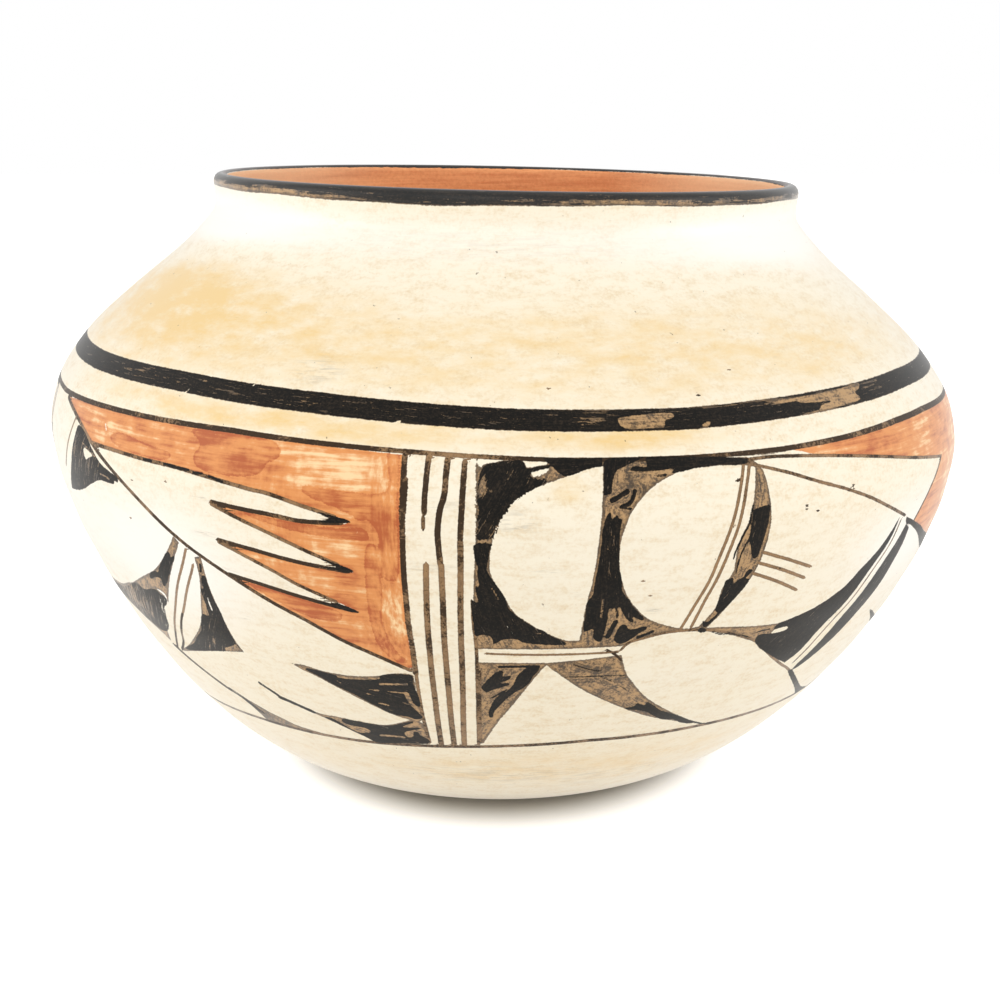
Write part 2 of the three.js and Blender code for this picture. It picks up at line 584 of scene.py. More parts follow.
# Lines round the jar: azimuth, height, width. Wear and tones: azimuth, height, half width in degrees,
# half height and strength
BAND = (
    (-60, 130.3, 5.8), (-40, 130.9, 5.9), (-20, 130.4, 6), (0, 129.3, 5.9), (20, 129.1, 6),
    (40, 130.4, 6), (57, 131.3, 5.8), (70, 131.1, 5.7), (110, 130.1, 5.7), (160, 130.9, 5.8),
    (230, 129.9, 5.7),
)
BAND_BARE = (
    (
        (11.9, 129.6), (14.1, 130.1), (16.2, 130.4), (18, 130.2), (17.8, 129.3), (16.9, 128.8),
        (16.6, 127.4), (15.2, 127.3), (13.2, 127.2), (12.1, 127.7), (11.8, 128.6),
    ),
    ((21.4, 127.9), (22.1, 128.1), (21.7, 127.2), (20.8, 127.2)),
    (
        (30.6, 131.4), (32.9, 131.5), (43.8, 132.4), (46.2, 132.6), (45.6, 131.5), (44.5, 130.7),
        (45, 129.7), (44.3, 128.9), (40.9, 128.5), (36.9, 127.8), (34.5, 127.6), (34.7, 128),
        (37, 128.4), (37.8, 129.3), (39.1, 129.6), (39.5, 130), (37.2, 130.1), (34.9, 130.4),
        (34.1, 130.9), (31.5, 130.7),
    ),
    ((148, 131.5), (152, 132), (157, 131.4), (155, 130), (150, 130.2)),
    ((221, 130.4), (226, 130.8), (233, 130.2), (228, 128.6), (222, 128.9)),
)
BAND_WEAR = (
    (9, 129.2, 2.4, 1.6, 0.3), (-14, 130.5, 7, 2, 0.14), (49, 131.6, 3.5, 1.5, 0.28),
    (16, 131.4, 12, 0.7, 0.25), (30, 131.6, 9, 0.8, 0.3), (100, 130.3, 9, 3, 0.2),
    (170, 131, 8, 3, 0.15), (-32, 130.6, 10, 2.5, 0.16), (-48, 131, 7, 1.5, 0.16), (-2, 129.5, 6, 2, 0.1),
)
BAND_NICKS = (
    (((-29.6, 134.2), (-29.2, 132.4)), 0.4), (((-28.6, 133.6), (-28.4, 132.6)), 0.3),
    (((-38.4, 128.2), (-38, 129.3)), 0.4), (((-11.5, 127.4), (-11, 127.9)), 0.5),
)
FRAME_LINE = (
    (-65, 119.8, 1.4), (-50, 121, 1.4), (-30, 122.2, 1.4), (-10, 121.6, 1.2), (5, 120.9, 1.1),
    (20, 120.7, 1.2), (30, 120.9, 1.3), (40, 121.6, 1.4), (50, 122.6, 1.6), (58, 122.9, 1.6),
    (70, 122.2, 1.5), (110, 121.2, 1.2), (170, 122, 1.3), (230, 121, 1.2),
)
FRAME_WEAR = ((-5, 121.3, 5, 2, 0.45), (33, 121, 6, 1.5, 0.12), (-13, 121.7, 2, 1, 0.2))
FOOT_LINE = (
    (-60, 31, 1.3), (-50, 32, 1.4), (-40, 33.4, 1.4), (-20, 34.7, 1.4), (0, 37.2, 1.4), (12, 38.5, 1.5),
    (30, 38, 1.5), (50, 36.6, 1.4), (100, 36, 1.3), (160, 37.5, 1.3), (230, 35, 1.3),
)

# The upright divider: brush lines, each with its width and how patchy its black is
DIVIDER = (
    (((-9.85, 115.4), (-9.85, 111.8), (-9.95, 107.5)), 1.7, 0.35),
    (((-10, 120.6), (-9.95, 105.1), (-10, 96.4), (-10, 86.3)), 1.4, 0.28),
    (((-10, 86.3), (-10, 77.3), (-9.9, 71.3), (-9.9, 62.5)), 1.4, 0.42),
    (((-9.9, 61.7), (-10, 51.3), (-9.9, 37.5)), 1.0, 0.6),
    (((-7.6, 120.7), (-7.7, 116.7), (-7.8, 112.1), (-7.8, 108.1)), 1.35, 0.25),
    (((-7.9, 106.8), (-7.9, 104.3)), 1.0, 0.3),
    (((-7.7, 94.7), (-7.9, 83.6), (-8, 71.7), (-8.1, 51.7), (-8.3, 36.8)), 1.5, 0.62),
    (((-5.7, 120.5), (-5.8, 116.9), (-5.9, 112.3), (-6.3, 108.5), (-6.5, 102.6), (-6.3, 95.4)), 1.45, 0.25),
    (((-6.2, 94.9), (-6.2, 83.9), (-6.3, 72), (-6.3, 59.1), (-6.5, 37.2)), 1.5, 0.62),
    (((-4, 119.9), (-4.1, 114.8), (-4.2, 107.8), (-4.3, 102.1)), 1.4, 0.28),
    (((-4.3, 101.1), (-4.3, 94.1), (-4.4, 84.2), (-4.5, 72.3), (-4.6, 59.3), (-5.1, 37.4)), 1.5, 0.62),
    (((-3.2, 85.4), (-3.1, 78.5), (-2.9, 72.5), (-2.9, 59.5), (-3.1, 37.8)), 0.9, 0.55),
)

# The white half moon and the white oval, on a ground of wash and black
MOON = (
    (9.6, 119.4), (9.6, 119.4), (8, 118.8), (4, 115.6), (2, 113.4), (0.6, 111), (-0.5, 106.5),
    (-1.2, 101.5), (-1.45, 96.5), (-1.2, 92.3), (0, 87.3), (1.1, 82.6), (3.3, 78.6), (5.2, 76),
    (6.6, 74.6), (8.1, 74.4), (8.1, 74.4), (8.35, 84), (8.9, 94), (9.45, 113),
)
OVAL = (
    (17, 117.3), (14.5, 114.3), (12.6, 109.8), (11.6, 104.5), (11.3, 99.5), (11.6, 93), (12.7, 86.5),
    (15.1, 80.3), (18.2, 77.1), (20, 76.2), (21.4, 76.4), (21.4, 76.4), (22.9, 81.5), (23.1, 87),
    (24.05, 92), (24.1, 99), (25, 104.5), (25.6, 110), (26.1, 117.4), (26.1, 117.4), (24.3, 118.2),
    (20.5, 118.4),
)
GROUND = (
    (-2.95, 121), (-2.95, 121), (8, 121.2), (16, 121.2), (25.3, 119.9), (25.3, 119.9), (26.9, 117),
    (27.6, 109.5), (27.75, 103), (27.5, 97), (26.6, 90), (25, 83.5), (22.7, 76.3), (22.7, 76.3),
    (22, 75.2), (20, 75.6), (18, 75.6), (15, 74.2), (12.8, 72.1), (12.8, 72.1), (-2.9, 71.6),
    (-2.9, 71.6), (-3.1, 84), (-2.8, 106),
)
GROUND_BARE = (
    (
        (-2.6, 120.9), (0.3, 121.1), (3.6, 120.8), (4.1, 120), (3.1, 119.5), (2.1, 119.2), (1.8, 120.4),
        (0.7, 120.9), (-1.9, 119.8), (-2.5, 118.9),
    ),
    ((2.5, 118.2), (3.3, 118.8), (4.2, 119.1), (4.1, 118.4), (3.4, 117.6), (2.7, 117.2)),
    ((-0.1, 79.7), (0.6, 78.4), (1.3, 77.1), (1.1, 76.4), (0.6, 76.4), (0.2, 77.7)),
)
GROUND_BLACK = (
    (
        60,
        (
            (-1.9, 119.6), (0.7, 120.7), (1.7, 120.5), (2.1, 119), (3.1, 119.4), (4.2, 119.8),
            (4.2, 119.8), (4.3, 119.2), (2.4, 117.9), (2.9, 116.7), (4.1, 116.6), (3.6, 115.4),
            (2.1, 113.5), (0.5, 110.5), (0.2, 109.1), (-0.7, 106.3), (-1, 103.2), (-1.5, 102.3),
            (-2.7, 102.2), (-2.6, 105.5), (-2.7, 107.4), (-2.5, 109.3), (-2.7, 111.1), (-2.6, 116.4),
        ),
    ),
    (
        5,
        (
            (3.7, 121.2), (5.5, 121.3), (7.5, 121.2), (9.6, 121.3), (9.6, 121.3), (9.6, 119.4),
            (9.6, 119.4), (8, 118.8), (5.8, 117.3), (4.6, 119.3), (3.9, 120.6),
        ),
    ),
    (
        110,
        (
            (-2.9, 100.9), (-1.3, 101), (-1.4, 100), (-1.7, 94.9), (-1.5, 93.2), (0.1, 86.9),
            (0.7, 83.2), (3.3, 78.4), (4.1, 77.6), (5.3, 75.6), (6.8, 73.6), (6.1, 73.1), (2.6, 73.6),
            (1.3, 74.9), (-0.1, 74.6), (-1, 73.2), (-1.3, 75.4), (-2.2, 76), (-3, 75.6), (-3.1, 78.7),
            (-3.3, 82.5), (-3.3, 85.9), (-2.6, 85.3), (-2.9, 89.5), (-2.5, 89.9), (-2.7, 93.4),
            (-2.6, 94.8), (-2.9, 96.9),
        ),
    ),
    (
        95,
        (
            (9.7, 107.6), (10.2, 109), (10.3, 107.6), (10.5, 107.3), (10.7, 108.2), (11, 108),
            (11, 107.4), (11.4, 107.2), (11.3, 105.6), (11.2, 103), (11.4, 94.9), (11.7, 92.4),
            (12, 88.4), (12.9, 85.7), (13.4, 83.8), (14.2, 81.8), (14.8, 80.3), (14.6, 79.6),
            (13.4, 81), (13.7, 79.5), (13.4, 79.2), (12.7, 80.8), (12, 83.8), (11.8, 83.5), (12, 80.9),
            (11.8, 80.6), (11.4, 83.9), (11.2, 83.3), (10.9, 83.7), (10.8, 81.8), (10.8, 78.8),
            (10.5, 74.1), (10, 74.1), (9.5, 75.4), (9.4, 77.7), (8.8, 77.2), (8.4, 77.4), (8.3, 79.4),
            (8.4, 82.8), (8.4, 85.4), (8.8, 86.9), (9, 88.5), (9, 90.5), (9.4, 100.8), (9.4, 103.8),
        ),
    ),
    (
        30,
        (
            (11.8, 75), (12.3, 78.5), (12.9, 78.6), (13.5, 77.2), (15.1, 77.9), (15.3, 77),
            (14.5, 75.8), (13.9, 74.4), (12.8, 72.9), (12.2, 73.4),
        ),
    ),
    (
        80,
        (
            (9.7, 120.6), (9.7, 120.6), (10.6, 121.2), (12.8, 121.3), (13.9, 121.2), (12.9, 120.3),
            (11.2, 118.7), (10.8, 117.8), (10.5, 115.8), (10.3, 113.4), (9.5, 112.8), (9.5, 112.8),
        ),
    ),
    (
        0,
        (
            (14, 120.8), (14.7, 121.2), (17.9, 121), (22.3, 120.4), (25.1, 119.7), (25.3, 119),
            (25, 118.4), (23.5, 118.4), (22.1, 118.6), (19.2, 118.2), (17.1, 117.4), (16.6, 117.7),
            (16.9, 118.4), (14.7, 118.1), (12.5, 118.2), (12.4, 118.9), (12.8, 119.3), (14, 119),
            (14.1, 119.9),
        ),
    ),
    (
        80,
        (
            (25.5, 107.2), (26.2, 107.8), (27.5, 108.2), (27.5, 106.2), (27.4, 102.9), (26.9, 96.8),
            (26.6, 94.6), (26.2, 94.6), (25.9, 95.5), (25.6, 98.2), (25.3, 100), (25.4, 105.4),
        ),
    ),
    (
        65,
        (
            (24.1, 89.9), (24.3, 89.2), (24.3, 88), (24.7, 88.8), (25.4, 89.7), (25.6, 91.1),
            (26, 91.7), (26.4, 91.2), (25.8, 89.2), (26.3, 88.7), (25.5, 85.1), (24.3, 81.3),
            (23.5, 79.3), (23, 77.4), (22.3, 75.9), (21.9, 76.5), (21.7, 77.8), (21.9, 78.1),
            (22.4, 77.4), (22.8, 78.5), (23.3, 79.8), (22.9, 81.3), (23.2, 86.2), (23.3, 89.2),
            (23.7, 89.6),
        ),
    ),
    (0, ((21.4, 75.7), (21.9, 75.8), (22.5, 75.2), (22.5, 74.3), (21.7, 74.5))),
)
GROUND_STROKES = (
    (((10.4, 111.7), (11.9, 113.6)), 1.3),
    (((11.4, 110.2), (12.1, 110.9), (12.5, 112.2), (12.7, 113.7)), 1.1),
    (((11.2, 110.1), (12.2, 109.6)), 0.6), (((15.1, 116.9), (16, 117.1)), 0.6),
    (((11.7, 79.6), (11.1, 75.4)), 1.4), (((16.1, 76.2), (14.5, 74.6)), 1),
    (
        (
            (25.5, 108.5), (25.3, 106.7), (25.1, 103.8), (24.7, 101.9), (24.3, 99.6), (23.9, 96.9),
            (23.8, 95.2),
        ),
        0.6,
    ),
    (((25.3, 100), (24.8, 97.4), (24.5, 94.6), (24.4, 90.9)), 0.55),
)
GROUND_SLITS = (
    (((10.1, 86.2), (10.1, 80.8)), 0.45), (((-1.2, 89.4), (-0.5, 86.2)), 0.25),
    (((3.4, 76.9), (4.2, 76.4)), 0.3),
)
GROUND_WEAR = (
    (-2.2, 114, 0.5, 2.2, 0.6), (-1.2, 113.6, 0.4, 0.8, 0.35), (-1.6, 104.5, 1.4, 3.2, 0.28),
    (10.2, 97, 0.6, 8, 0.16), (1, 117.5, 1.2, 1.2, 0.15),
)
OVAL_LINES = (
    ((24.7, 118), (24, 112), (23.3, 106), (22.6, 100), (22, 95), (21.3, 89), (20.5, 84), (19.3, 76.5)),
    (
        (20.5, 76.5), (21.4, 84), (22.1, 89), (22.75, 94), (23.35, 99), (24, 105), (24.7, 112),
        (25.4, 118),
    ),
)
TICKS = (
    ((27.4, 95.8), (31, 92.7), (34.4, 89.5)), ((27.1, 93), (30.5, 90), (34, 86.4)),
    ((26.6, 90.3), (30, 87), (33.4, 83.1)),
)

# Below the half moon and the oval: a double stripe, a hanging triangle, a fang and a white lens
STRIPE_LINE = ((-1.8, 70.2), (1.4, 70.1), (6.4, 70.1), (11.5, 70.3), (12.5, 70.5))
STRIPE_TICK = ((11.4, 71), (12.3, 69.6), (13.1, 67.8))
TRIANGLE = (
    (-2.95, 67.4), (-2.95, 67.4), (4.9, 67.5), (4.9, 67.5), (4.7, 66.3), (4, 64.2), (1.2, 53),
    (-0.2, 48), (-1.5, 42.5), (-2.4, 38.3), (-2.4, 38.3), (-3, 38), (-3, 38),
)
TRIANGLE_BLACK = (
    (
        65,
        (
            (4.1, 66.7), (4, 65.2), (3.4, 63), (3.1, 61.3), (2.4, 59.2), (1.2, 57.1), (-0.4, 52.7),
            (-1, 50.4), (-1.2, 48.6), (-1.6, 48.8), (-1.6, 51.1), (-0.8, 55.5), (0.5, 58.2),
            (1.3, 60.9), (1.6, 63.4), (2.3, 65.4), (3.1, 66.4),
        ),
    ),
    (
        70,
        (
            (-2.4, 59.6), (-1.1, 63.6), (-0.3, 64.9), (0.1, 64.6), (0, 63), (0.8, 63.4), (0.9, 62.7),
            (0.4, 61.6), (-0.4, 60.7), (0.6, 60.9), (0.6, 60), (-1, 58.6), (-1.7, 57.5), (-2.2, 58),
        ),
    ),
)
TRIANGLE_STROKES = ((((-0.4, 66.1), (1.4, 66.3), (3.9, 66.4)), 0.9), (((-1.2, 55.6), (0.5, 58.5)), 0.7))
TRIANGLE_EDGE = ((-2.6, 64.2), (-2.7, 54.3), (-2.8, 45.2), (-2.8, 39.1))
FANG = (
    (4.6, 67.5), (4.6, 67.5), (8.2, 68.2), (13.1, 69.3), (13.1, 69.3), (13.6, 66), (14.5, 62),
    (18, 53.2), (24, 44.4), (29.3, 38.5), (29.3, 38.5), (26, 40.8), (18, 47.3), (10, 57.2), (5, 66.4),
)
FANG_BLACK = (
    (
        -42,
        (
            (15.3, 50.6), (16.5, 50.9), (16.7, 52.1), (17.9, 50.8), (18, 52), (18.8, 51), (20.7, 47.8),
            (22.1, 46.6), (25.8, 42.2), (27.6, 40), (26.3, 40.2), (24.8, 41.4), (23.2, 43.4),
            (22.2, 43.7), (20.9, 44.7), (18.6, 48), (17.4, 49.1), (15.6, 50),
        ),
    ),
)
FANG_STROKES = (
    (((7, 62.8), (9.9, 62.7), (12, 62.6), (14.3, 62.4)), 0.45),
    (((11.2, 62.3), (13, 60.2), (14.8, 57.3)), 0.35), (((27, 40.6), (29.1, 38.7), (30.8, 38)), 0.7),
)
FANG_SMEAR = ((8.1, 66.8), (9.3, 65.6), (10.8, 64.7))
LENS_RIM = (
    (12.9, 71), (13.6, 73), (15, 74.1), (18, 75.5), (22, 75.1), (26, 72.9), (30.2, 68.5), (33.9, 62),
    (37.2, 57), (40, 53.3), (45.8, 43.8), (50, 38.3), (51.4, 36.5),
)
LENS_BAND = (
    (22, 75.9), (22, 75.9), (26, 74.8), (30, 73.7), (33, 73.2), (33, 73.2), (32, 70), (30.3, 68),
    (30.3, 68), (27, 71.3), (25, 73), (22, 75),
)
LENS_STROKES = (
    (((23.4, 74.1), (24.7, 72.9), (25.8, 72.8), (26.8, 72), (28.6, 70.7)), 0.65),
    (((29.1, 71.2), (30.1, 71.6), (31.6, 71.8)), 0.45),
)
LENS_LEAF = (
    (41, 52.6), (44, 47.6), (48, 42), (51, 39), (54, 36.8), (51, 36.3), (48, 40.1), (44, 45.8),
    (40.4, 52),
)

# The horn: black on both sides of a double white stripe
HORN_LEFT = (
    (49.7, 96.8), (49.7, 96.8), (48.5, 93.5), (46.5, 88.5), (44, 83.8), (42.1, 79.8), (38, 75.8),
    (35, 74.2), (32.6, 73), (32.4, 71.4), (34.3, 71.4), (34.5, 70.2), (32.5, 70), (30.3, 70.6),
    (30.2, 68.2), (31.8, 65), (35.2, 60.3), (37.8, 57.2), (37.8, 57.2), (39.5, 60.3), (41.3, 67),
    (44, 74), (46.3, 82), (48.8, 91),
)
HORN_LINE = (
    (50.2, 95.5), (49.2, 89.5), (48, 84.5), (46.5, 79), (45, 73.5), (43.5, 69), (42, 64), (41.1, 60.5),
    (39.9, 56),
)
HORN_RIGHT = (
    (52, 93.6), (52, 93.6), (50.8, 89), (48, 78.5), (42.5, 59), (41, 54), (41.2, 52.7), (42.2, 53.3),
    (44.4, 56.7), (48, 64.5), (50.8, 73), (52.9, 84), (53.3, 92), (53.3, 92),
)
HORN_DIAGONAL = (
    (25.3, 118.5), (30, 115.5), (34, 112.3), (38, 109.3), (42, 105.8), (46, 101.7), (51, 96.7),
)
SWOOSH = (
    (51.6, 96), (51.6, 96), (54, 93.8), (58, 90), (62, 86), (70, 80.5), (76, 77.8), (82, 75.8),
    (82, 75.8), (82, 73.6), (74, 74.8), (70, 75.8), (66, 78.2), (62, 82.3), (58, 87.5), (54, 92.2),
    (52, 94),
)

# The rust field with its white tongues
FIELD = (
    (-63, 119), (-63, 119), (-52, 120.6), (-28, 121.8), (-18, 121.4), (-10.1, 120.8), (-10.1, 120.8),
    (-10.1, 92), (-10.1, 64), (-10.1, 64), (-14, 66.8), (-18, 70.5), (-22, 75.2), (-26, 79.2),
    (-30.3, 83.9), (-30.3, 83.9), (-26.5, 83.8), (-21.5, 81.8), (-16, 79.8), (-16, 79.8), (-15.7, 80.4),
    (-17.8, 82.2), (-22, 85.6), (-25, 88.8), (-29, 92.2), (-31, 94), (-30.2, 94.6), (-26.5, 93.4),
    (-21.5, 92), (-16, 91), (-15.5, 91.6), (-17, 92.9), (-24.5, 98.8), (-30, 102.8), (-31.3, 104),
    (-30, 104.6), (-24, 103.6), (-20.5, 103), (-16, 103.6), (-15.6, 104.4), (-17, 105.3), (-24, 108.8),
    (-30, 110.4), (-36, 111.2), (-46, 110.9), (-52.4, 110.9), (-52.4, 110.9), (-56.5, 114.5),
    (-60, 117),
)
FIELD_SPILL = ((-16, 68.4), (-13.5, 66), (-11, 63.4), (-10.6, 64.4), (-13, 66.6), (-15.6, 68.9))
FIELD_COATS = (
    (
        (-46.5, 116), (-41, 115), (-37.8, 114.6), (-37.6, 112.6), (-41, 111.8), (-46, 112.2),
        (-48.5, 114),
    ),
    (
        (-35, 121), (-30, 121.6), (-25.5, 121.5), (-23.6, 120.2), (-23.4, 117.6), (-24.6, 115.9),
        (-25.6, 113), (-29, 111.6), (-33, 112), (-34, 115), (-33.4, 118),
    ),
    (
        (-20, 112), (-16, 111.6), (-11.6, 112.4), (-11.8, 121), (-10.5, 121), (-10.5, 92), (-12.8, 92),
        (-12.4, 101), (-13.4, 105), (-15, 106), (-17, 107.6), (-20, 109.8),
    ),
    ((-14.8, 106.4), (-14.2, 107.1), (-13.6, 106.3), (-13.7, 105.2), (-14.3, 104.8), (-14.8, 105.4)),
    ((-12, 106.8), (-11.3, 107.4), (-10.7, 106.4), (-11, 105), (-11.7, 105)),
    (
        (-27, 103.4), (-22, 102.6), (-17, 102.4), (-14, 103), (-13.6, 100), (-17, 99.6), (-22, 100.4),
        (-26, 102),
    ),
    (
        (-13.8, 98), (-12.6, 98), (-12.4, 88), (-12.8, 78), (-12, 70), (-10.6, 66), (-12.4, 66.5),
        (-14, 72), (-14.2, 84),
    ),
    ((-28.5, 83.4), (-24, 82.6), (-20, 80.6), (-17.4, 79.2), (-18, 76.4), (-21, 76.2), (-25, 79.6)),
)
FIELD_TONES = (
    (-17, 116.5, 5.5, 4.2, -0.75), (-50, 116.5, 5, 3, -0.15), (-57, 116, 3, 2, 0.25),
    (-33, 118.4, 0.5, 0.8, 0.9), (-15.5, 98, 2.5, 1.6, -0.45), (-22, 88.6, 3, 1.5, -0.25),
    (-15, 76, 1.6, 3, -0.4), (-12, 69, 2, 3, 0.2), (-20, 84, 2, 1.2, -0.2), (-11.2, 78, 0.7, 4, -0.3),
    (-28, 102.5, 2.5, 1, 0.1), (-19, 105.5, 2.5, 1.2, -0.2), (-14.2, 106, 0.5, 1, 0.6),
    (-11.4, 106, 0.5, 1, 0.5), (-13.2, 102.5, 2.6, 4.5, 0.4), (-18.5, 83, 4, 2.6, 0.15),
)
FIELD_NICKS = ((((-50.1, 116.9), (-49.6, 115.5)), 0.6),)
DIAGONAL = (
    (-63, 118.8), (-58, 115.7), (-54, 112.3), (-46, 104), (-38, 93.3), (-34, 88.3), (-26, 79.3),
    (-22, 75.3), (-18, 70.6), (-14, 66.9), (-10.5, 63.4),
)
TONGUE_LOWER = (
    ((-30.6, 84.9), (-26.5, 83.8), (-21.5, 82), (-16, 80.1)),
    ((-31, 94.4), (-26.5, 93.5), (-21.5, 92.1), (-16, 91.2)),
    ((-31.2, 104.4), (-28, 104), (-24, 103.7), (-20.5, 103.1), (-16.2, 103.8)),
)
TONGUE_UPPER = (
    ((-31, 93.8), (-29, 92.3), (-25, 88.8), (-22, 85.6), (-17.8, 82.2)),
    ((-31.3, 103.8), (-28, 101.3), (-24.5, 98.8), (-20, 95.2), (-17, 92.9)),
    (
        (-52.4, 110.9), (-46, 111.2), (-41.6, 111.2), (-36, 111.2), (-30.4, 110.2), (-26, 109.2),
        (-24, 108.8), (-20, 106.8), (-17, 105.3),
    ),
)
TONGUE_DASHES = (
    ((-41.6, 111.2), (-40.2, 111.2)), ((-38.2, 111.4), (-36.3, 111.2), (-34.4, 111.2)),
    ((-33.8, 110.8), (-32.5, 111)), ((-31.6, 110.7), (-29.8, 109.9)),
)
TONGUE_TIPS = (
    (
        (-20.4, 83.9), (-20.4, 83.9), (-15.8, 80.5), (-15.9, 79.7), (-20.4, 81.3), (-20.4, 81.3),
        (-17.6, 81.6), (-17.6, 81.6),
    ),
    (
        (-19.9, 94.9), (-19.9, 94.9), (-15.6, 92), (-15.7, 91), (-19.8, 91.6), (-19.8, 91.6),
        (-17.1, 92.1), (-17.1, 92.1),
    ),
    (
        (-19.8, 106.5), (-19.8, 106.5), (-15.7, 104.9), (-15.7, 103.9), (-19.8, 103), (-19.8, 103),
        (-17.2, 104.5), (-17.2, 104.5),
    ),
)

# The two black feathers under the rust field, and the leaf beside them
FEATHER_TOP = (
    (-26.4, 60.7), (-26.4, 60.7), (-25.7, 60.1), (-24.1, 60.3), (-21.6, 59.4), (-18.1, 59.3),
    (-14.5, 60.5), (-13, 61.7), (-10.9, 62.3), (-10.2, 61.9), (-10.2, 61.9), (-10.2, 56.6), (-10, 51.5),
    (-9.9, 46.6), (-9.9, 46.6), (-10.9, 45.3), (-12.1, 46.1), (-14.2, 47.5), (-16.9, 50.5), (-23, 57.2),
    (-24.5, 58.4),
)
FEATHER_TOP_BLACK = (
    (-24.3, 58.9), (-23.4, 59.5), (-21.6, 59.1), (-20.1, 58.7), (-19.8, 58), (-18.3, 58.1),
    (-16.5, 58.6), (-14.6, 59.4), (-14.3, 60.6), (-13, 61.6), (-10.9, 62), (-10.3, 61.4), (-10.4, 58.4),
    (-10.1, 55.7), (-10, 52), (-10.3, 51), (-10.9, 52.2), (-11.3, 55.6), (-11.8, 55.3), (-11.4, 52.1),
    (-10.4, 48.7), (-10, 47.3), (-10.9, 46.3), (-12, 47), (-14.2, 47.7), (-17.9, 52.2), (-20.8, 55.1),
    (-22.9, 57.6),
)
FEATHER_FOOT = (
    (-33.1, 49.8), (-33.1, 49.8), (-32, 48.8), (-30.7, 47.1), (-26.3, 43.9), (-24.4, 43.1),
    (-22.4, 43.2), (-16.7, 42.6), (-14.7, 43.2), (-12.7, 44.9), (-11.4, 45.9), (-10.2, 45), (-10.2, 45),
    (-9.9, 41.5), (-9.8, 37.4), (-9.8, 37.4), (-11.7, 36.2), (-15.8, 35.3), (-17.7, 34.9),
    (-19.5, 36.9), (-23.6, 41), (-25.8, 42.7), (-28.9, 45.5), (-30.7, 46.1), (-32.2, 48.3),
)
FEATHER_FOOT_BLACK = (
    (-24.7, 41.8), (-23.4, 42.3), (-21.4, 39.7), (-20.1, 38.2), (-18.2, 39), (-18.7, 40.3),
    (-21.2, 40.7), (-21.9, 41.5), (-21.7, 42.7), (-20.5, 42.9), (-16.7, 42.4), (-14.8, 42.8),
    (-12.8, 44.5), (-11.5, 45.4), (-11.6, 44.6), (-13.1, 42.8), (-10.7, 43.1), (-11.2, 42.2),
    (-13, 40.8), (-12.8, 38.9), (-12, 39.3), (-11.8, 41.3), (-11.1, 41.2), (-11, 40.1), (-10.3, 39.2),
    (-9.8, 37.7), (-10.8, 36.6), (-13.7, 36.2), (-17.6, 35), (-19.5, 37), (-23.6, 41),
)
FEATHER_STROKES = (
    (((-33.1, 49.8), (-31.9, 48.3), (-30.8, 46.9)), 1.1),
    (((-30.7, 46.1), (-29, 45.3), (-27.3, 44.2), (-26, 43.2)), 1.4),
)
FEATHER_SLITS = (
    (((-14.6, 57.7), (-11.3, 58.6)), 0.7), (((-16.2, 55.2), (-15, 55.3)), 0.5),
    (((-13.8, 55.5), (-11.3, 55.4)), 0.35), (((-16.7, 53.8), (-15.7, 53.4)), 0.35),
    (((-15.4, 50.9), (-14.2, 50.5)), 0.55), (((-12.2, 52), (-11.4, 51.5)), 0.45),
    (((-20.2, 56.8), (-19.8, 56.2)), 0.35), (((-16.8, 38.3), (-14.9, 38.6), (-13.4, 38.5)), 0.75),
)
LEAF_LINE = ((-50, 52), (-46, 47.5), (-42, 42.9), (-41.3, 42.6))
LEAF = (
    (-41.3, 42.7), (-41.3, 42.7), (-39.1, 41.2), (-35, 38.1), (-32.9, 37), (-30.9, 35.6), (-26.5, 34.8),
    (-23.5, 34), (-23.5, 34), (-29.2, 33.5), (-32.8, 33.7), (-36.9, 33.6), (-37.7, 35.4), (-38.7, 38.4),
    (-39.9, 40.6),
)
LEAF_DARK = ((-41.4, 42.6), (-39.5, 40.9), (-38.2, 38.7), (-37.1, 37))

# The wing at the left edge of the view
WEDGE = (
    (-34.2, 88.3), (-34.2, 88.3), (-34.3, 86.3), (-34.3, 78.8), (-33.9, 66.5), (-33.1, 60), (-33.1, 60),
    (-36.6, 58.3), (-42.1, 55.1), (-47.5, 51.8), (-48, 52), (-44.7, 55.6), (-40.6, 62), (-38.6, 66.5),
    (-36.8, 73.8), (-35.5, 81.2), (-35.3, 87.6), (-35.3, 87.6),
)
WEDGE_BLACK = (
    (-35.1, 82.1), (-34.5, 82.6), (-34.4, 81), (-34.3, 74.5), (-34.1, 73.2), (-34, 66.4), (-33.7, 63.1),
    (-34.2, 61.7), (-36.3, 59.5), (-36.6, 58.4), (-39.4, 56.8), (-45, 53.6), (-46.5, 53.4), (-43.2, 57),
    (-41.1, 60.6), (-39.4, 63.4), (-38.9, 65.4), (-38, 68.5), (-37.4, 69.6), (-36.7, 69.5),
    (-36.3, 71.1), (-36, 77.3), (-35.9, 78.2), (-35.4, 78.4), (-35.4, 80.2),
)
WEDGE_STROKES = (
    (((-34.7, 85.7), (-34.8, 84.6), (-35, 83.6)), 0.9),
    (((-33.8, 62.4), (-33.5, 61.4), (-33.1, 60.1)), 0.5),
)
WEDGE_SLITS = ((((-35.3, 75.7), (-35.4, 73.6), (-35.5, 71.7)), 0.5),)
WING_LINES = (
    (((-36.3, 89.3), (-37.8, 83.9), (-39.5, 78.5), (-41.4, 72.8), (-43.4, 66.9), (-45.7, 60.7)), 0.8, 0.95),
    (((-45.7, 60.7), (-48.2, 54.5), (-49.2, 52)), 0.8, 0.2),
    (((-41.8, 67.2), (-40.7, 70), (-38.7, 75.8), (-36.9, 81.4), (-35.9, 85)), 0.8, 0.95),
    (((-48, 52), (-46, 55.6), (-44.6, 59.8), (-42.6, 65.2), (-41.8, 67.2)), 0.8, 0.2),
)
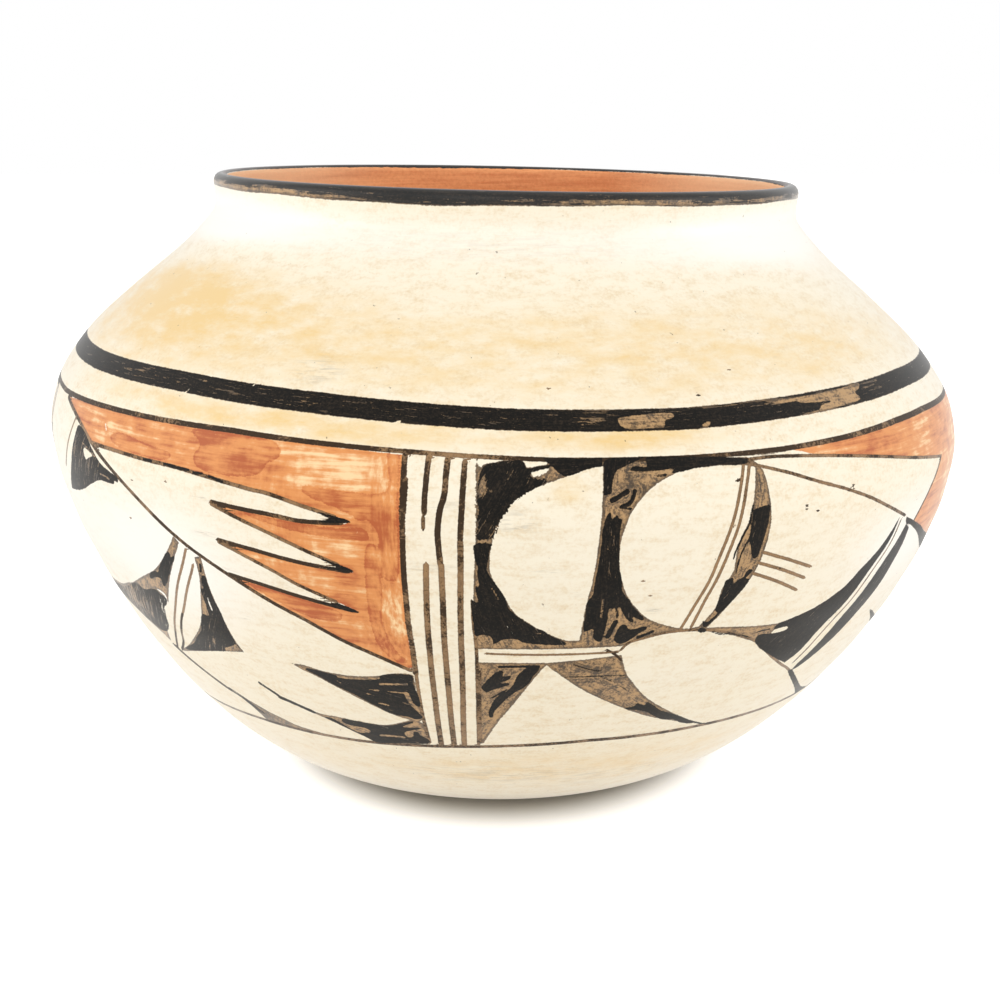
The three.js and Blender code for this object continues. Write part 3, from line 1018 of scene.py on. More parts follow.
WING_STRIP = (
    (-37.8, 92.3), (-37.8, 92.3), (-37.1, 90.8), (-37.1, 90.8), (-38.6, 86.1), (-42.1, 75.1),
    (-44.2, 68.9), (-43.8, 71.7), (-45.1, 72.7), (-48.7, 71.1), (-52.4, 70.1), (-52.4, 70.1),
    (-47.1, 75.6), (-43.1, 80.3), (-39.5, 87.7),
)
WING_STRIP_BLACK = (
    (-39.7, 87), (-39.4, 86.3), (-39.4, 85.5), (-38.8, 86.2), (-38.8, 85.4), (-39.7, 83.1),
    (-40.1, 82.3), (-40.1, 81.4), (-40.7, 79.9), (-41.9, 76.8), (-42.8, 75), (-43.3, 74.9),
    (-43.1, 76.9), (-44.1, 77), (-45.5, 75.6), (-45.5, 76.8), (-44.7, 78.2), (-43.6, 79.1),
    (-43.1, 79.1), (-42.4, 81), (-40.6, 85.3),
)
WING = (
    (-44, 71), (-44, 71), (-46, 72.7), (-50, 71.6), (-54, 69.2), (-58, 66.4), (-64, 64.5), (-68, 62),
    (-72, 59), (-76, 56.2), (-84, 52), (-84, 52), (-78, 53), (-73, 54.8), (-70, 57), (-66, 59.2),
    (-60, 59), (-56, 57.3), (-52, 55), (-50.4, 53), (-50.4, 53), (-48, 62), (-46, 69),
)
WING_BLACK = (
    (-45.6, 72.1), (-46.8, 71.9), (-48.7, 70.4), (-49.7, 70.6), (-50.2, 71.1), (-51.8, 70.6),
    (-54.3, 68.2), (-58, 65.6), (-64, 63.7), (-68, 61.2), (-72, 58.3), (-76, 55.5), (-82, 52.3),
    (-82, 52.3), (-78, 53.6), (-73.4, 55.4), (-70, 57.6), (-66, 60), (-60, 59.8), (-56, 58), (-52, 56),
    (-50, 56.5), (-48.9, 57.5),
    (-47.1, 60.7), (-46.7, 62.9), (-45.9, 65.7), (-45.8, 66.6), (-44.5, 68.7), (-44.1, 70.6),
    (-45, 71.2),
)
WING_CRESCENT = (
    (-56.8, 113.7), (-57.3, 111.9), (-57.7, 109), (-58.5, 105.2), (-59.7, 101), (-61.1, 96.8),
    (-62.2, 92.9), (-62.2, 92.9), (-59.6, 93.9), (-56.7, 95.7), (-53.6, 98.8), (-51.6, 100.8),
    (-50.1, 101.6), (-47.6, 101.8), (-47.3, 102.9), (-46.6, 102.7), (-46.7, 104.3), (-49.9, 106.1),
    (-52.3, 109.5), (-53.9, 111.8), (-55.2, 113.2),
)
WING_CRESCENT_GAP = ((-54.5, 108.5), (-52.9, 108.3), (-52.1, 107.4), (-53.1, 106.5), (-54, 105.6))
WING_CRESCENT_SLITS = (
    (((-55.1, 109.8), (-53.1, 108.7), (-51.2, 107.3)), 0.4),
    (((-50.5, 103.4), (-49.4, 103.2), (-48.4, 102.8)), 0.5),
    (((-49.7, 106.5), (-48.9, 106), (-48.2, 105.5)), 0.6),
)
WING_EDGE = ((-58.2, 115.1), (-59, 111.1), (-60.3, 105.7), (-62.4, 99.7))
# Wear on the wing's black; the thinning at azimuth -55, height 65 is painted glare near the jar's left side
WING_WEAR_AND_GLARE = ((-55, 65, 7, 7, 0.45), (-55, 106, 5, 7, 0.25), (-39, 63, 4, 6, 0.15))

# The rust field at the right edge of the view
FIELD_RIGHT = (
    (31, 120.6), (31, 120.6), (40, 121.5), (50, 122.5), (58, 122.8), (68, 122.2), (79.6, 121.6),
    (79.6, 121.6), (79.6, 98), (79.6, 76.6), (79.6, 76.6), (74, 78.7), (66, 83), (60, 87.8),
    (54.3, 93.5), (54.3, 93.5), (56.3, 98.5), (58, 103), (60.8, 109), (60.8, 109), (52, 112.3),
    (44, 115.5), (36, 118),
)
# Tones of the rust at the right; the paler place at azimuth 70 is painted glare on the jar's right side
FIELD_RIGHT_TONES_AND_GLARE = (
    (45, 118.5, 6, 2, 0.3), (62, 117, 5, 4, 0.3), (70, 102, 8, 16, -0.5), (60, 96, 4, 6, 0.2),
)
FIELD_RIGHT_EDGE = ((60.8, 109), (52, 112.3), (44, 115.5), (36, 118), (29, 119.4), (25, 119.3))
FIELD_RIGHT_ZIGZAG = ((60.8, 109), (58, 103), (56.3, 98.5), (54.3, 93.5))
LEAF_RIGHT = ((54, 65.6), (62, 57.8), (70, 52.3), (74, 50.2), (66, 52.4), (60, 57.3))

# Small dots of paint: azimuth, height, size and how patchy the black is
DOTS = (
    (32.3, 106.7, 0.5, 0), (32.3, 105.7, 0.45, 0), (33.9, 104.9, 0.6, 0), (39.3, 109.7, 0.5, 0.2),
    (23.8, 114.7, 0.6, 0), (23.1, 103.9, 0.5, 0.2), (23.4, 99.1, 0.5, 0.2), (14, 91, 0.5, 1.5),
    (15, 86.7, 0.5, 1.5), (-45.2, 93.6, 0.5, 1.5), (-43.6, 104.8, 0.45, 1.5), (-37.8, 107, 0.45, 1.5),
    (21.6, 133.8, 0.6, 0), (27, 138.7, 0.5, 0.6), (8.9, 139.4, 0.5, 0.6), (4.6, 135.7, 0.5, 1.5),
)

# Fire clouds on the slip: warm where they are positive, whiter where they are negative. The whiter places
# at the neck and towards the two sides are painted highlight
CLOUDS_AND_HIGHLIGHTS = (
    (0, 143, 500, 13, 0.58), (0, 22, 500, 10, 0.2), (0, 167, 500, 8, -0.42), (-46, 150, 20, 10, 0.35),
    (14, 125.5, 9, 3.5, 0.7), (-58, 152, 16, 10, 0.35),
    (-25, 125, 32, 3.6, 0.7), (-62, 138, 16, 12, 0.15), (62, 128, 16, 8, -0.4), (66, 150, 14, 14, -0.35),
    (-62, 169, 26, 8, -0.9), (52, 168, 26, 9, -0.7), (12, 95, 24, 26, -0.2), (-42, 84, 15, 20, -1.0),
    (-64, 92, 10, 30, -0.5), (55, 88, 14, 17, -0.9), (6, 114, 2.2, 3.5, 0.75), (20, 60, 12, 8, -0.2),
    (110, 146, 26, 14, 0.3), (165, 138, 25, 12, 0.3), (-140, 148, 26, 12, 0.3), (14, 28, 34, 8, 0.35),
    (-170, 60, 30, 16, 0.3),
)

# Grey smudges on the slip, and a painted shade at the front of the neck under the lip
SMUDGES_AND_SHADE = (
    (-22, 137, 2.6, 2.5, 0.5), (4.4, 94, 1.2, 1, 0.5), (7, 88, 0.8, 0.6, 0.5),
    (15.7, 82.3, 0.8, 0.7, 0.6), (-30.6, 72.3, 0.8, 0.5, 0.8), (1.2, 106, 1.6, 3, 0.5),
    (-7, 94, 3, 1.2, 0.4), (-7, 110, 3, 1.4, 0.35), (-2, 24, 12, 4, 0.35), (18, 20, 14, 4, 0.3),
    (0, 166, 26, 4, 0.14), (-32.5, 104.9, 1.6, 0.6, 0.6), (-32.5, 95.4, 1.6, 0.7, 0.6),
    (-30.6, 85.6, 0.9, 1, 0.6), (140, 60, 6, 6, 0.4), (-150, 110, 6, 5, 0.4),
)

# Paler and darker places in the brown wash
WASH_TONES = (
    (12, 115, 3, 5, -0.3), (12, 60, 4, 5, -0.15), (18, 51, 4, 5, -0.12), (8.5, 66, 2.6, 2, -0.3),
    (0, 58, 3, 10, -0.1), (-40, 36, 8, 5, -0.6), (26, 112, 1.4, 5, -0.2), (15, 129, 5, 2.5, -0.12),
    (40, 130, 8, 2.5, 0.15),
)

# Places where the brush ran dry, with ragged edges
DRY_PLACES = (
    (0.3, 111, 1.6, 4, 1.0), (-1, 104, 1.2, 3, 1.0), (3.4, 116.5, 1.2, 1, 0.8), (-10, 110, 0.8, 8, 0.8),
    (-10, 74, 0.8, 12, 0.6), (-2.8, 110, 0.8, 9, 0.5),
)

# Rust paint brushed up and down
RUST_UPRIGHT = ((-11.6, 95, 1.8, 40, 1.0), (-13, 72, 3, 8, 0.7), (66, 100, 5, 16, 0.6))


# How patchy the black of the lines round the jar is, and the length of a dot in degrees
BAND_PATCHY = 0.14
FRAME_PATCHY = 0.2
FOOT_PATCHY = 0.45
DOT_LENGTH = 0.05

# Pens: width of a line in millimetres, and how patchy its black is
OVAL_PEN = (0.9, 0.85)
TICK_PEN = (0.9, 0.85)
STRIPE_PEN = (0.7, 0.8)
STRIPE_TICK_PEN = (0.7, 0.2)
TRIANGLE_PEN = (0.9, 0.6)
FANG_SMEAR_PEN = (1.6, 0.55)
LENS_PEN = (0.8, 0.7)
HORN_PEN = (0.7, 0.6)
HORN_DIAGONAL_PEN = (0.85, 0.6)
DIAGONAL_PEN = (1.2, 0.4)
TONGUE_LOWER_PEN = (1.15, 0.22)
TONGUE_UPPER_PEN = (1.0, 0.6)
TONGUE_DASH_PEN = (0.8, DENSE)
LEAF_PEN = (1.5, 0.2)
LEAF_DARK_PEN = (1.8, 0.4)
WING_EDGE_PEN = (0.8, 0.9)
FIELD_RIGHT_EDGE_PEN = (0.85, 0.55)
FIELD_RIGHT_ZIGZAG_PEN = (0.9, 0.4)

# Brushes: angle from the level, and how patchy their black is
GROUND_BRUSH = (100, DENSE)
TRIANGLE_BRUSH = (70, DENSE)
FANG_BRUSH = (-40, DENSE)
LENS_BRUSH = (-30, DENSE)
HORN_BRUSH = (55, 0.16)
TIP_BRUSH = (0, DENSE)
FEATHER_BRUSH = (-20, DENSE)
LEAF_BRUSH = (-30, DENSE)
WING_BRUSH = (60, 0.16)
SWOOSH_BRUSH = (-30, 0.15)
LEAF_RIGHT_BRUSH = (-30, 0.3)


def fill_wash(paint, outline, brush, cuts=()):
    paint.fill("wash", outline, cuts=cuts, angle=brush[0])


def fill_black(paint, areas):
    """Areas of dense black, each with the angle it was brushed at."""
    for angle, outline in areas:
        paint.fill("black", outline, angle=angle)


def fill_both(paint, wash, black, brush):
    """Brown wash, and dense black over it."""
    angle, patchy = brush
    paint.fill("wash", wash, angle=angle)
    paint.fill("black", black, angle=angle, patchy=patchy)


def draw_lines(paint, lines):
    """Brush lines, each with its width and how patchy its black is."""
    for points, width, patchy in lines:
        paint.line(points, width, patchy)


def draw_alike(paint, lines, pen):
    """Brush lines of one pen."""
    for points in lines:
        paint.line(points, *pen)


def draw_strokes(paint, strokes):
    """Strokes of dense black, each with its width."""
    for points, width in strokes:
        paint.stroke(points, width)


def lift_slits(paint, kinds, slits):
    """Slits, each with its width, where these paints are missing."""
    for points, width in slits:
        for kind in kinds:
            paint.lift(kind, points, width)


def paint_rings(paint):
    paint.at(0.0)
    paint.ring(BAND, BAND_PATCHY, broad=True)
    for area in BAND_BARE:
        paint.bare("black", area)
    lift_slits(paint, ("black", "wash"), BAND_NICKS)
    paint.ring(FRAME_LINE, FRAME_PATCHY)
    paint.ring(FOOT_LINE, FOOT_PATCHY)
    paint.wear(BAND_WEAR)
    paint.wear(FRAME_WEAR)
    for place, height, size, patchy in DOTS:
        paint.line(((place, height), (place + DOT_LENGTH, height)), size, patchy)


def paint_moon_and_oval(paint):
    fill_wash(paint, GROUND, GROUND_BRUSH, cuts=(MOON, OVAL, *GROUND_BARE))
    fill_black(paint, GROUND_BLACK)
    draw_strokes(paint, GROUND_STROKES)
    lift_slits(paint, ("black",), GROUND_SLITS)
    paint.wear(GROUND_WEAR)
    draw_alike(paint, OVAL_LINES, OVAL_PEN)


def paint_triangle(paint):
    paint.line(STRIPE_LINE, *STRIPE_PEN)
    paint.line(STRIPE_TICK, *STRIPE_TICK_PEN)
    fill_wash(paint, TRIANGLE, TRIANGLE_BRUSH)
    fill_black(paint, TRIANGLE_BLACK)
    draw_strokes(paint, TRIANGLE_STROKES)
    paint.line(TRIANGLE_EDGE, *TRIANGLE_PEN)


def paint_fang(paint):
    fill_wash(paint, FANG, FANG_BRUSH)
    fill_black(paint, FANG_BLACK)
    draw_strokes(paint, FANG_STROKES)
    paint.stroke(FANG_SMEAR, *FANG_SMEAR_PEN)


def paint_horn(paint):
    draw_alike(paint, TICKS, TICK_PEN)
    paint.line(LENS_RIM, *LENS_PEN)
    fill_wash(paint, LENS_BAND, LENS_BRUSH)
    draw_strokes(paint, LENS_STROKES)
    for area in (HORN_LEFT, HORN_RIGHT, LENS_LEAF):
        fill_both(paint, area, area, HORN_BRUSH)
    paint.line(HORN_LINE, *HORN_PEN)
    paint.line(HORN_DIAGONAL, *HORN_DIAGONAL_PEN)


def paint_field(paint):
    for area in (FIELD, FIELD_SPILL):
        paint.fill("rust", area)
    for area in FIELD_COATS:
        paint.fill("coat", area)
    lift_slits(paint, ("rust",), FIELD_NICKS)
    paint.line(DIAGONAL, *DIAGONAL_PEN)
    draw_alike(paint, TONGUE_LOWER, TONGUE_LOWER_PEN)
    draw_alike(paint, TONGUE_UPPER, TONGUE_UPPER_PEN)
    for points in TONGUE_DASHES:
        paint.stroke(points, *TONGUE_DASH_PEN)
    for area in TONGUE_TIPS:
        fill_both(paint, area, area, TIP_BRUSH)


def paint_feathers(paint):
    fill_both(paint, FEATHER_TOP, FEATHER_TOP_BLACK, FEATHER_BRUSH)
    fill_both(paint, FEATHER_FOOT, FEATHER_FOOT_BLACK, FEATHER_BRUSH)
    draw_strokes(paint, FEATHER_STROKES)
    lift_slits(paint, ("black",), FEATHER_SLITS)
    paint.line(LEAF_LINE, *LEAF_PEN)
    fill_wash(paint, LEAF, LEAF_BRUSH)
    paint.stroke(LEAF_DARK, *LEAF_DARK_PEN)


def paint_left_wing(paint):
    paint.at(0.0)
    for wash, black in (
        (WEDGE, WEDGE_BLACK), (WING_STRIP, WING_STRIP_BLACK), (WING, WING_BLACK),
        (WING_CRESCENT, WING_CRESCENT),
    ):
        fill_both(paint, wash, black, WING_BRUSH)
    draw_strokes(paint, WEDGE_STROKES)
    lift_slits(paint, ("black", "wash"), WEDGE_SLITS)
    for kind in ("black", "wash"):
        paint.bare(kind, WING_CRESCENT_GAP)
    lift_slits(paint, ("black",), WING_CRESCENT_SLITS)
    draw_lines(paint, WING_LINES)
    paint.line(WING_EDGE, *WING_EDGE_PEN)
    # Wear, and painted glare on the wing
    paint.wear(WING_WEAR_AND_GLARE)


def paint_right_field(paint):
    paint.at(0.0)
    paint.fill("rust", FIELD_RIGHT)
    paint.line(FIELD_RIGHT_EDGE, *FIELD_RIGHT_EDGE_PEN)
    paint.line(FIELD_RIGHT_ZIGZAG, *FIELD_RIGHT_ZIGZAG_PEN)
    fill_both(paint, SWOOSH, SWOOSH, SWOOSH_BRUSH)
    fill_both(paint, LEAF_RIGHT, LEAF_RIGHT, LEAF_RIGHT_BRUSH)


def paint_wall(azimuth, height):
    """Everything that is painted on the wall from the foot line to the upper band."""
    paint = Paint(azimuth, height)
    for turn in QUARTERS:
        paint.at(turn)
        draw_lines(paint, DIVIDER)
    for turn, squeeze in MOON_SECTORS:
        paint.at(turn, squeeze)
        paint_moon_and_oval(paint)
        paint_triangle(paint)
    for turn in HORN_TURNS:
        paint.at(turn)
        paint_fang(paint)
        paint_horn(paint)
    for turn in FIELD_TURNS:
        paint.at(turn)
        paint_field(paint)
        paint_feathers(paint)
    paint_left_wing(paint)
    paint_right_field(paint)
    paint_rings(paint)
    return paint


def field_tone_and_glare(azimuth, height):
    """Darker and paler washes in the rust paint, and paler rust at the right side as painted glare."""
    tone = soft_spots(azimuth, height, FIELD_RIGHT_TONES_AND_GLARE)
    for turn in FIELD_TURNS:
        tone = tone + soft_spots(azimuth, height, FIELD_TONES, turn)
    return tone


def spots_all_round(azimuth, height, spots):
    """The same soft spots on each quarter of the jar."""
    return sum(soft_spots(azimuth, height, spots, turn) for turn in QUARTERS)


# Materials

# Noise textures: stretch of the place in millimetres, scale, detail and roughness
EVEN = (1, 1, 1)
SLIP_DRIFT = ((0.16, 0.16, 0.5), 1.0, 5.0, 0.66)
SLIP_MOTTLE = ((0.08, 0.08, 0.26), 1.0, 5.0, 0.68)
SLIP_GRAIN = (EVEN, 1.1, 3.0, 0.6)
SLIP_HAIR = ((0.12, 0.12, 1.3), 1.0, 4.0, 0.7)
SLIP_PITS = (EVEN, 0.62, 2.0, 0.6)
RUST_LEVEL_STREAK = ((0.045, 0.045, 0.75), 1.0, 6.0, 0.62)
RUST_UPRIGHT_STREAK = ((0.8, 0.8, 0.06), 1.0, 6.0, 0.62)
RUST_BLOT = ((0.14, 0.14, 0.2), 1.0, 4.0, 0.6)
RUST_FLECKS = (EVEN, 1.1, 3.0, 0.7)
INK_GRAIN = (EVEN, 1.5, 4.0, 0.7)
INK_BLOT = (EVEN, 0.35, 4.0, 0.65)
INK_SPREAD = (EVEN, 0.13, 3.0, 0.6)
EDGE_COARSE = (EVEN, 0.55, 2.0, 0.5)
EDGE_FINE = (EVEN, 2.2, 2.0, 0.5)
CLAY_WIPE = ((0.03, 0.03, 0.5), 1.0, 4.0, 0.6)
CLAY_GRAIN = (EVEN, 0.9, 3.0, 0.6)
CLAY_EDGE = (EVEN, 0.35, 2.0, 0.5)

# In the values below, a STEP is where a noise or a depth starts and ends to show, a GAIN is what it is
# multiplied by, or that and what is added, and a SHARE is how strongly it shows

# Edges of all paints
PAINT_STEP = (-0.1, 0.1)
EDGE_COARSE_GAIN = (0.4, -0.2)
EDGE_FINE_GAIN = (0.3, -0.15)
EDGE_DRY_GAIN = (6.0, 1.0)

# Slip
FLECK_DRIFT_GAIN = 0.6
FLECK_GRAIN_GAIN = 0.4
FLECK_STEP = (0.43, 0.76)
FLECK_RELIEF = 0.5
WARM_GAIN = (3.0, -0.5)
WARM_STEP = (0.0, 1.2)
WHITE_STEP = (0.0, -1.0)
SMEAR_STEP = (0.44, 0.66)
STRAY_HAIR_STEP = (0.6, 0.76)
STRAY_PLACE_STEP = (0.48, 0.64)
STRAY_SHARE = 0.22
PIT_STEP = (0.735, 0.79)
PIT_SHARE = 0.7
PIT_RELIEF = -0.8
SLIP_BUMP = (0.15, 0.0003)
RELIEF_ROUGH = 0.1
BLACK_ROUGH = 0.08

# Rust paint
RUST_STREAK_GAIN = 2.9
RUST_BLOT_GAIN = 2.3
RUST_TONE_GAIN = (0.8, -2.12)
COAT_EDGE_GAIN = 2.0
COAT_STEP = (-0.15, 0.15)
COAT_GAIN = 0.3
POOL_STEP = (0.2, 0.9)
POOL_GAIN = 0.25
RUST_RIM_STEP = (1.4, 0.1)
RUST_RIM_GAIN = 0.3
RUST_MID_STEP = (-0.3, 0.45)
RUST_DEEP_STEP = (0.4, 1.4)
RUST_FLECK_STEP = (0.66, 0.74)
RUST_FLECK_SHARE = 0.3

# Brush lines, brown wash and dense black
LINE_EDGE_GAIN = 0.5
LINE_MIDDLE_STEP = (0.0, 0.4)
LINE_SHARE = 0.65
LINE_COVER_GAIN = (1.9, -1.4)
LINE_COVER_STEP = (-0.2, 0.2)
LINE_DARK_SHARE = 0.92
INK_STREAK = (1.0, 4.0, 0.7)
INK_ALONG_GAIN = 0.1
INK_ACROSS_GAIN = 1.2
WEAVE_GAIN = 0.5
WEAVE_STEP = (0.37, 0.6)
WASH_BLOT_GAIN = (2.4, -1.2)
WASH_MIDDLE_STEP = (0.1, 1.1)
WASH_MIDDLE_GAIN = (0.7, 0.3)
WASH_STEP = (-0.1, 1.0)
WASH_SHARE = 0.95
BLACK_STREAK_GAIN = 2.4
BLACK_GRAIN_GAIN = (1.0, -1.2)
BLACK_COVER_STEP = (-0.12, 0.08)
WORN_STEP = (0.9, 1.4)

# Bare clay: painted light makes it paler towards the two sides of the jar
CLAY_GRAIN_GAIN = 0.4
CLAY_STEP = (0.4, 1.0)
CLAY_SIDE_LIGHT_STEP = (35.0, 85.0)
CLAY_SIDE_LIGHT_SHARE = 0.75
CLAY_EDGE_GAIN = (0.8, -0.4)
CLAY_ROUGH_GAIN = (0.2, 0.6)
CLAY_BUMP = (0.35, 0.0005)


class Nodes:
    """The node tree of one material, with short calls for the nodes that it uses."""

    def __init__(self, name):
        self.material = bpy.data.materials.new(name)
        self.material.use_nodes = True
        self.tree = self.material.node_tree
        self.shader = self.tree.nodes["Principled BSDF"]

    def feed(self, socket, value):
        if isinstance(value, bpy.types.NodeSocket):
            self.tree.links.new(value, socket)
        else:
            socket.default_value = value

    def new(self, kind, **settings):
        node = self.tree.nodes.new("ShaderNode" + kind)
        for name, value in settings.items():
            setattr(node, name, value)
        return node

    def scaled(self, value, gain, shift):
        return self.math("MULTIPLY_ADD", value, gain, shift)

    def math(self, operation, *values):
        node = self.new("Math", operation=operation)
        for socket, value in zip(node.inputs, values):
            self.feed(socket, value)
        return node.outputs[0]

    def step(self, value, low, high):
        """0 below low, 1 above high, and smooth between them."""
        node = self.new("MapRange", interpolation_type="SMOOTHSTEP")
        for name, part in (("Value", value), ("From Min", low), ("From Max", high)):
            self.feed(node.inputs[name], part)
        return node.outputs[0]

    def mix(self, share, first, second):
        node = self.new("Mix", data_type="RGBA")
        self.feed(node.inputs[0], share)
        self.feed(node.inputs[6], first)
        self.feed(node.inputs[7], second)
        return node.outputs[2]

    def attribute(self, name):
        return self.new("Attribute", attribute_name=name).outputs["Fac"]

    def place(self, x, y, z):
        """Object coordinates in millimetres, stretched by these scales."""
        node = self.new("VectorMath", operation="MULTIPLY")
        self.feed(node.inputs[0], self.new("TexCoord").outputs["Object"])
        node.inputs[1].default_value = (x / MM, y / MM, z / MM)
        return node.outputs[0]

    def vector(self, x, y, z):
        node = self.new("CombineXYZ")
        for socket, value in zip(node.inputs, (x, y, z)):
            self.feed(socket, value)
        return node.outputs[0]

    def texture(self, stretch, *settings):
        """Noise on the object's own coordinates."""
        return self.noise(self.place(*stretch), *settings)

    def noise(self, place, scale, detail, roughness):
        node = self.new("TexNoise")
        self.feed(node.inputs["Vector"], place)
        node.inputs["Scale"].default_value = scale
        node.inputs["Detail"].default_value = detail
        node.inputs["Roughness"].default_value = roughness
        return node.outputs["Fac"]

    def bump(self, height, strength, distance):
        node = self.new("Bump")
        node.inputs["Strength"].default_value = strength
        node.inputs["Distance"].default_value = distance
        self.feed(node.inputs["Height"], height)
        return node.outputs[0]


def slip_layer(n):
    """Cream slip with fire clouds, painted highlight, brush hairs, specks, smudges and painted shade under
    the lip: colour and relief.
    """
    mottle = n.texture(*SLIP_MOTTLE)
    hair = n.texture(*SLIP_HAIR)
    grain = n.math("MULTIPLY", n.texture(*SLIP_GRAIN), FLECK_GRAIN_GAIN)
    fleck = n.scaled(n.texture(*SLIP_DRIFT), FLECK_DRIFT_GAIN, grain)
    colour = n.mix(n.step(fleck, *FLECK_STEP), SLIP_PALE, SLIP_CREAM)
    cloud_and_highlight = n.attribute("cloud_and_highlight")
    warm = n.math("MULTIPLY", cloud_and_highlight, n.scaled(mottle, *WARM_GAIN))
    colour = n.mix(n.step(warm, *WARM_STEP), colour, SLIP_WARM)
    # Painted highlight: whiter slip where the clouds are negative, at the neck and the sides
    colour = n.mix(n.step(cloud_and_highlight, *WHITE_STEP), colour, SLIP_WHITE_AND_HIGHLIGHT)
    # Grey smudges and the painted shade under the lip, shown through the brush hairs
    smear_and_shade = n.math("MULTIPLY", n.attribute("smudge_and_shade"), n.step(hair, *SMEAR_STEP))
    stray = n.math("MULTIPLY", n.step(hair, *STRAY_HAIR_STEP), n.step(mottle, *STRAY_PLACE_STEP))
    grey = n.math("MAXIMUM", smear_and_shade, n.math("MULTIPLY", stray, STRAY_SHARE))
    colour = n.mix(grey, colour, SLIP_GREY)
    pits = n.step(n.texture(*SLIP_PITS), *PIT_STEP)
    colour = n.mix(n.math("MULTIPLY", pits, PIT_SHARE), colour, SPECK)
    relief = n.scaled(fleck, FLECK_RELIEF, n.math("MULTIPLY", pits, PIT_RELIEF))
    return colour, relief


def rust_tone_and_glare(n, depth, edge):
    """How deep the rust colour is: streaks and blots, tones with painted glare, a second coat with a dark
    edge, a dark rim.
    """
    level = n.texture(*RUST_LEVEL_STREAK)
    upright = n.texture(*RUST_UPRIGHT_STREAK)
    streak = n.mix(n.attribute("upright"), level, upright)
    blot = n.math("MULTIPLY", n.texture(*RUST_BLOT), RUST_BLOT_GAIN)
    tone = n.scaled(streak, RUST_STREAK_GAIN, blot)
    tone = n.math("ADD", tone, n.scaled(n.attribute("rust_tone_and_glare"), *RUST_TONE_GAIN))
    coat_depth = n.scaled(edge, COAT_EDGE_GAIN, n.attribute("coat"))
    coat = n.step(coat_depth, *COAT_STEP)
    pool = n.math("SUBTRACT", coat, n.step(coat_depth, *POOL_STEP))
    tone = n.scaled(coat, COAT_GAIN, tone)
    tone = n.scaled(pool, POOL_GAIN, tone)
    return n.scaled(n.step(depth, *RUST_RIM_STEP), RUST_RIM_GAIN, tone)


def rust_layer(n, colour, edge):
    """Streaky rust paint, thin and pale or in a second coat, over what is below."""
    depth = n.math("ADD", n.attribute("rust"), edge)
    tone = rust_tone_and_glare(n, depth, edge)
    rust = n.mix(n.step(tone, *RUST_MID_STEP), RUST_PALE, RUST_MID)
    rust = n.mix(n.step(tone, *RUST_DEEP_STEP), rust, RUST_DEEP)
    flecks = n.step(n.texture(*RUST_FLECKS), *RUST_FLECK_STEP)
    rust = n.mix(n.math("MULTIPLY", flecks, RUST_FLECK_SHARE), rust, RUST_PALE)
    return n.mix(n.step(depth, *PAINT_STEP), colour, rust)


def line_layer(n, edge):
    """Where brush lines lie, and how far from their edges."""
    exact = n.math("SUBTRACT", n.attribute("line_half"), n.math("ABSOLUTE", n.attribute("line_side")))
    inside = n.math("MINIMUM", exact, n.math("ADD", n.attribute("line_depth"), LINE_SLACK))
    line = n.step(n.scaled(edge, LINE_EDGE_GAIN, inside), *PAINT_STEP)
    return line, n.step(inside, *LINE_MIDDLE_STEP)


def wash_colour(n, streak, grain, depth, middle):
    """Brown wash, mottled, and darker along its edges."""
    blot = n.texture(*INK_BLOT)
    weave = n.scaled(streak, WEAVE_GAIN, n.math("MULTIPLY", grain, WEAVE_GAIN))
    away = n.math("MAXIMUM", n.step(depth, *WASH_MIDDLE_STEP), middle)
    tone = n.math("ADD", n.step(weave, *WEAVE_STEP), n.scaled(blot, *WASH_BLOT_GAIN))
    tone = n.math("ADD", tone, n.attribute("wash_tone"))
    tone = n.math("MULTIPLY", tone, n.scaled(away, *WASH_MIDDLE_GAIN))
    return n.mix(n.step(tone, *WASH_STEP), WASH_DARK, WASH_PALE)


def ink_layer(n, colour, edge):
    """Brown wash with dense black brushed over it: colour, and where black lies."""
    along = n.math("MULTIPLY", n.attribute("along"), INK_ALONG_GAIN)
    across = n.math("MULTIPLY", n.attribute("across"), INK_ACROSS_GAIN)
    streak = n.noise(n.vector(along, across, 0.0), *INK_STREAK)
    grain = n.texture(*INK_GRAIN)
    line, middle = line_layer(n, edge)
    depth = n.math("ADD", n.attribute("wash"), edge)
    washed = n.math("MAXIMUM", n.step(depth, *PAINT_STEP), line)
    wash = wash_colour(n, streak, grain, depth, middle)
    colour = n.mix(n.math("MULTIPLY", washed, WASH_SHARE), colour, wash)
    colour = n.mix(n.math("MULTIPLY", line, LINE_SHARE), colour, LINE_PALE)
    cover = n.scaled(n.math("ADD", n.texture(*INK_SPREAD), grain), *LINE_COVER_GAIN)
    dark = n.step(n.math("SUBTRACT", cover, n.attribute("line_patchy")), *LINE_COVER_STEP)
    dark = n.math("MULTIPLY", line, dark)
    colour = n.mix(n.math("MULTIPLY", dark, LINE_DARK_SHARE), colour, LINE_DARK)
    cover = n.scaled(streak, BLACK_STREAK_GAIN, n.scaled(grain, *BLACK_GRAIN_GAIN))
    cover = n.step(n.math("SUBTRACT", cover, n.attribute("patchy")), *BLACK_COVER_STEP)
    black = n.step(n.math("ADD", n.attribute("black"), edge), *PAINT_STEP)
    black = n.math("MULTIPLY", black, cover)
    shade = n.mix(n.step(n.math("ADD", streak, grain), *WORN_STEP), BLACK, BLACK_WORN)
    return n.mix(black, colour, shade), n.math("MAXIMUM", black, dark)


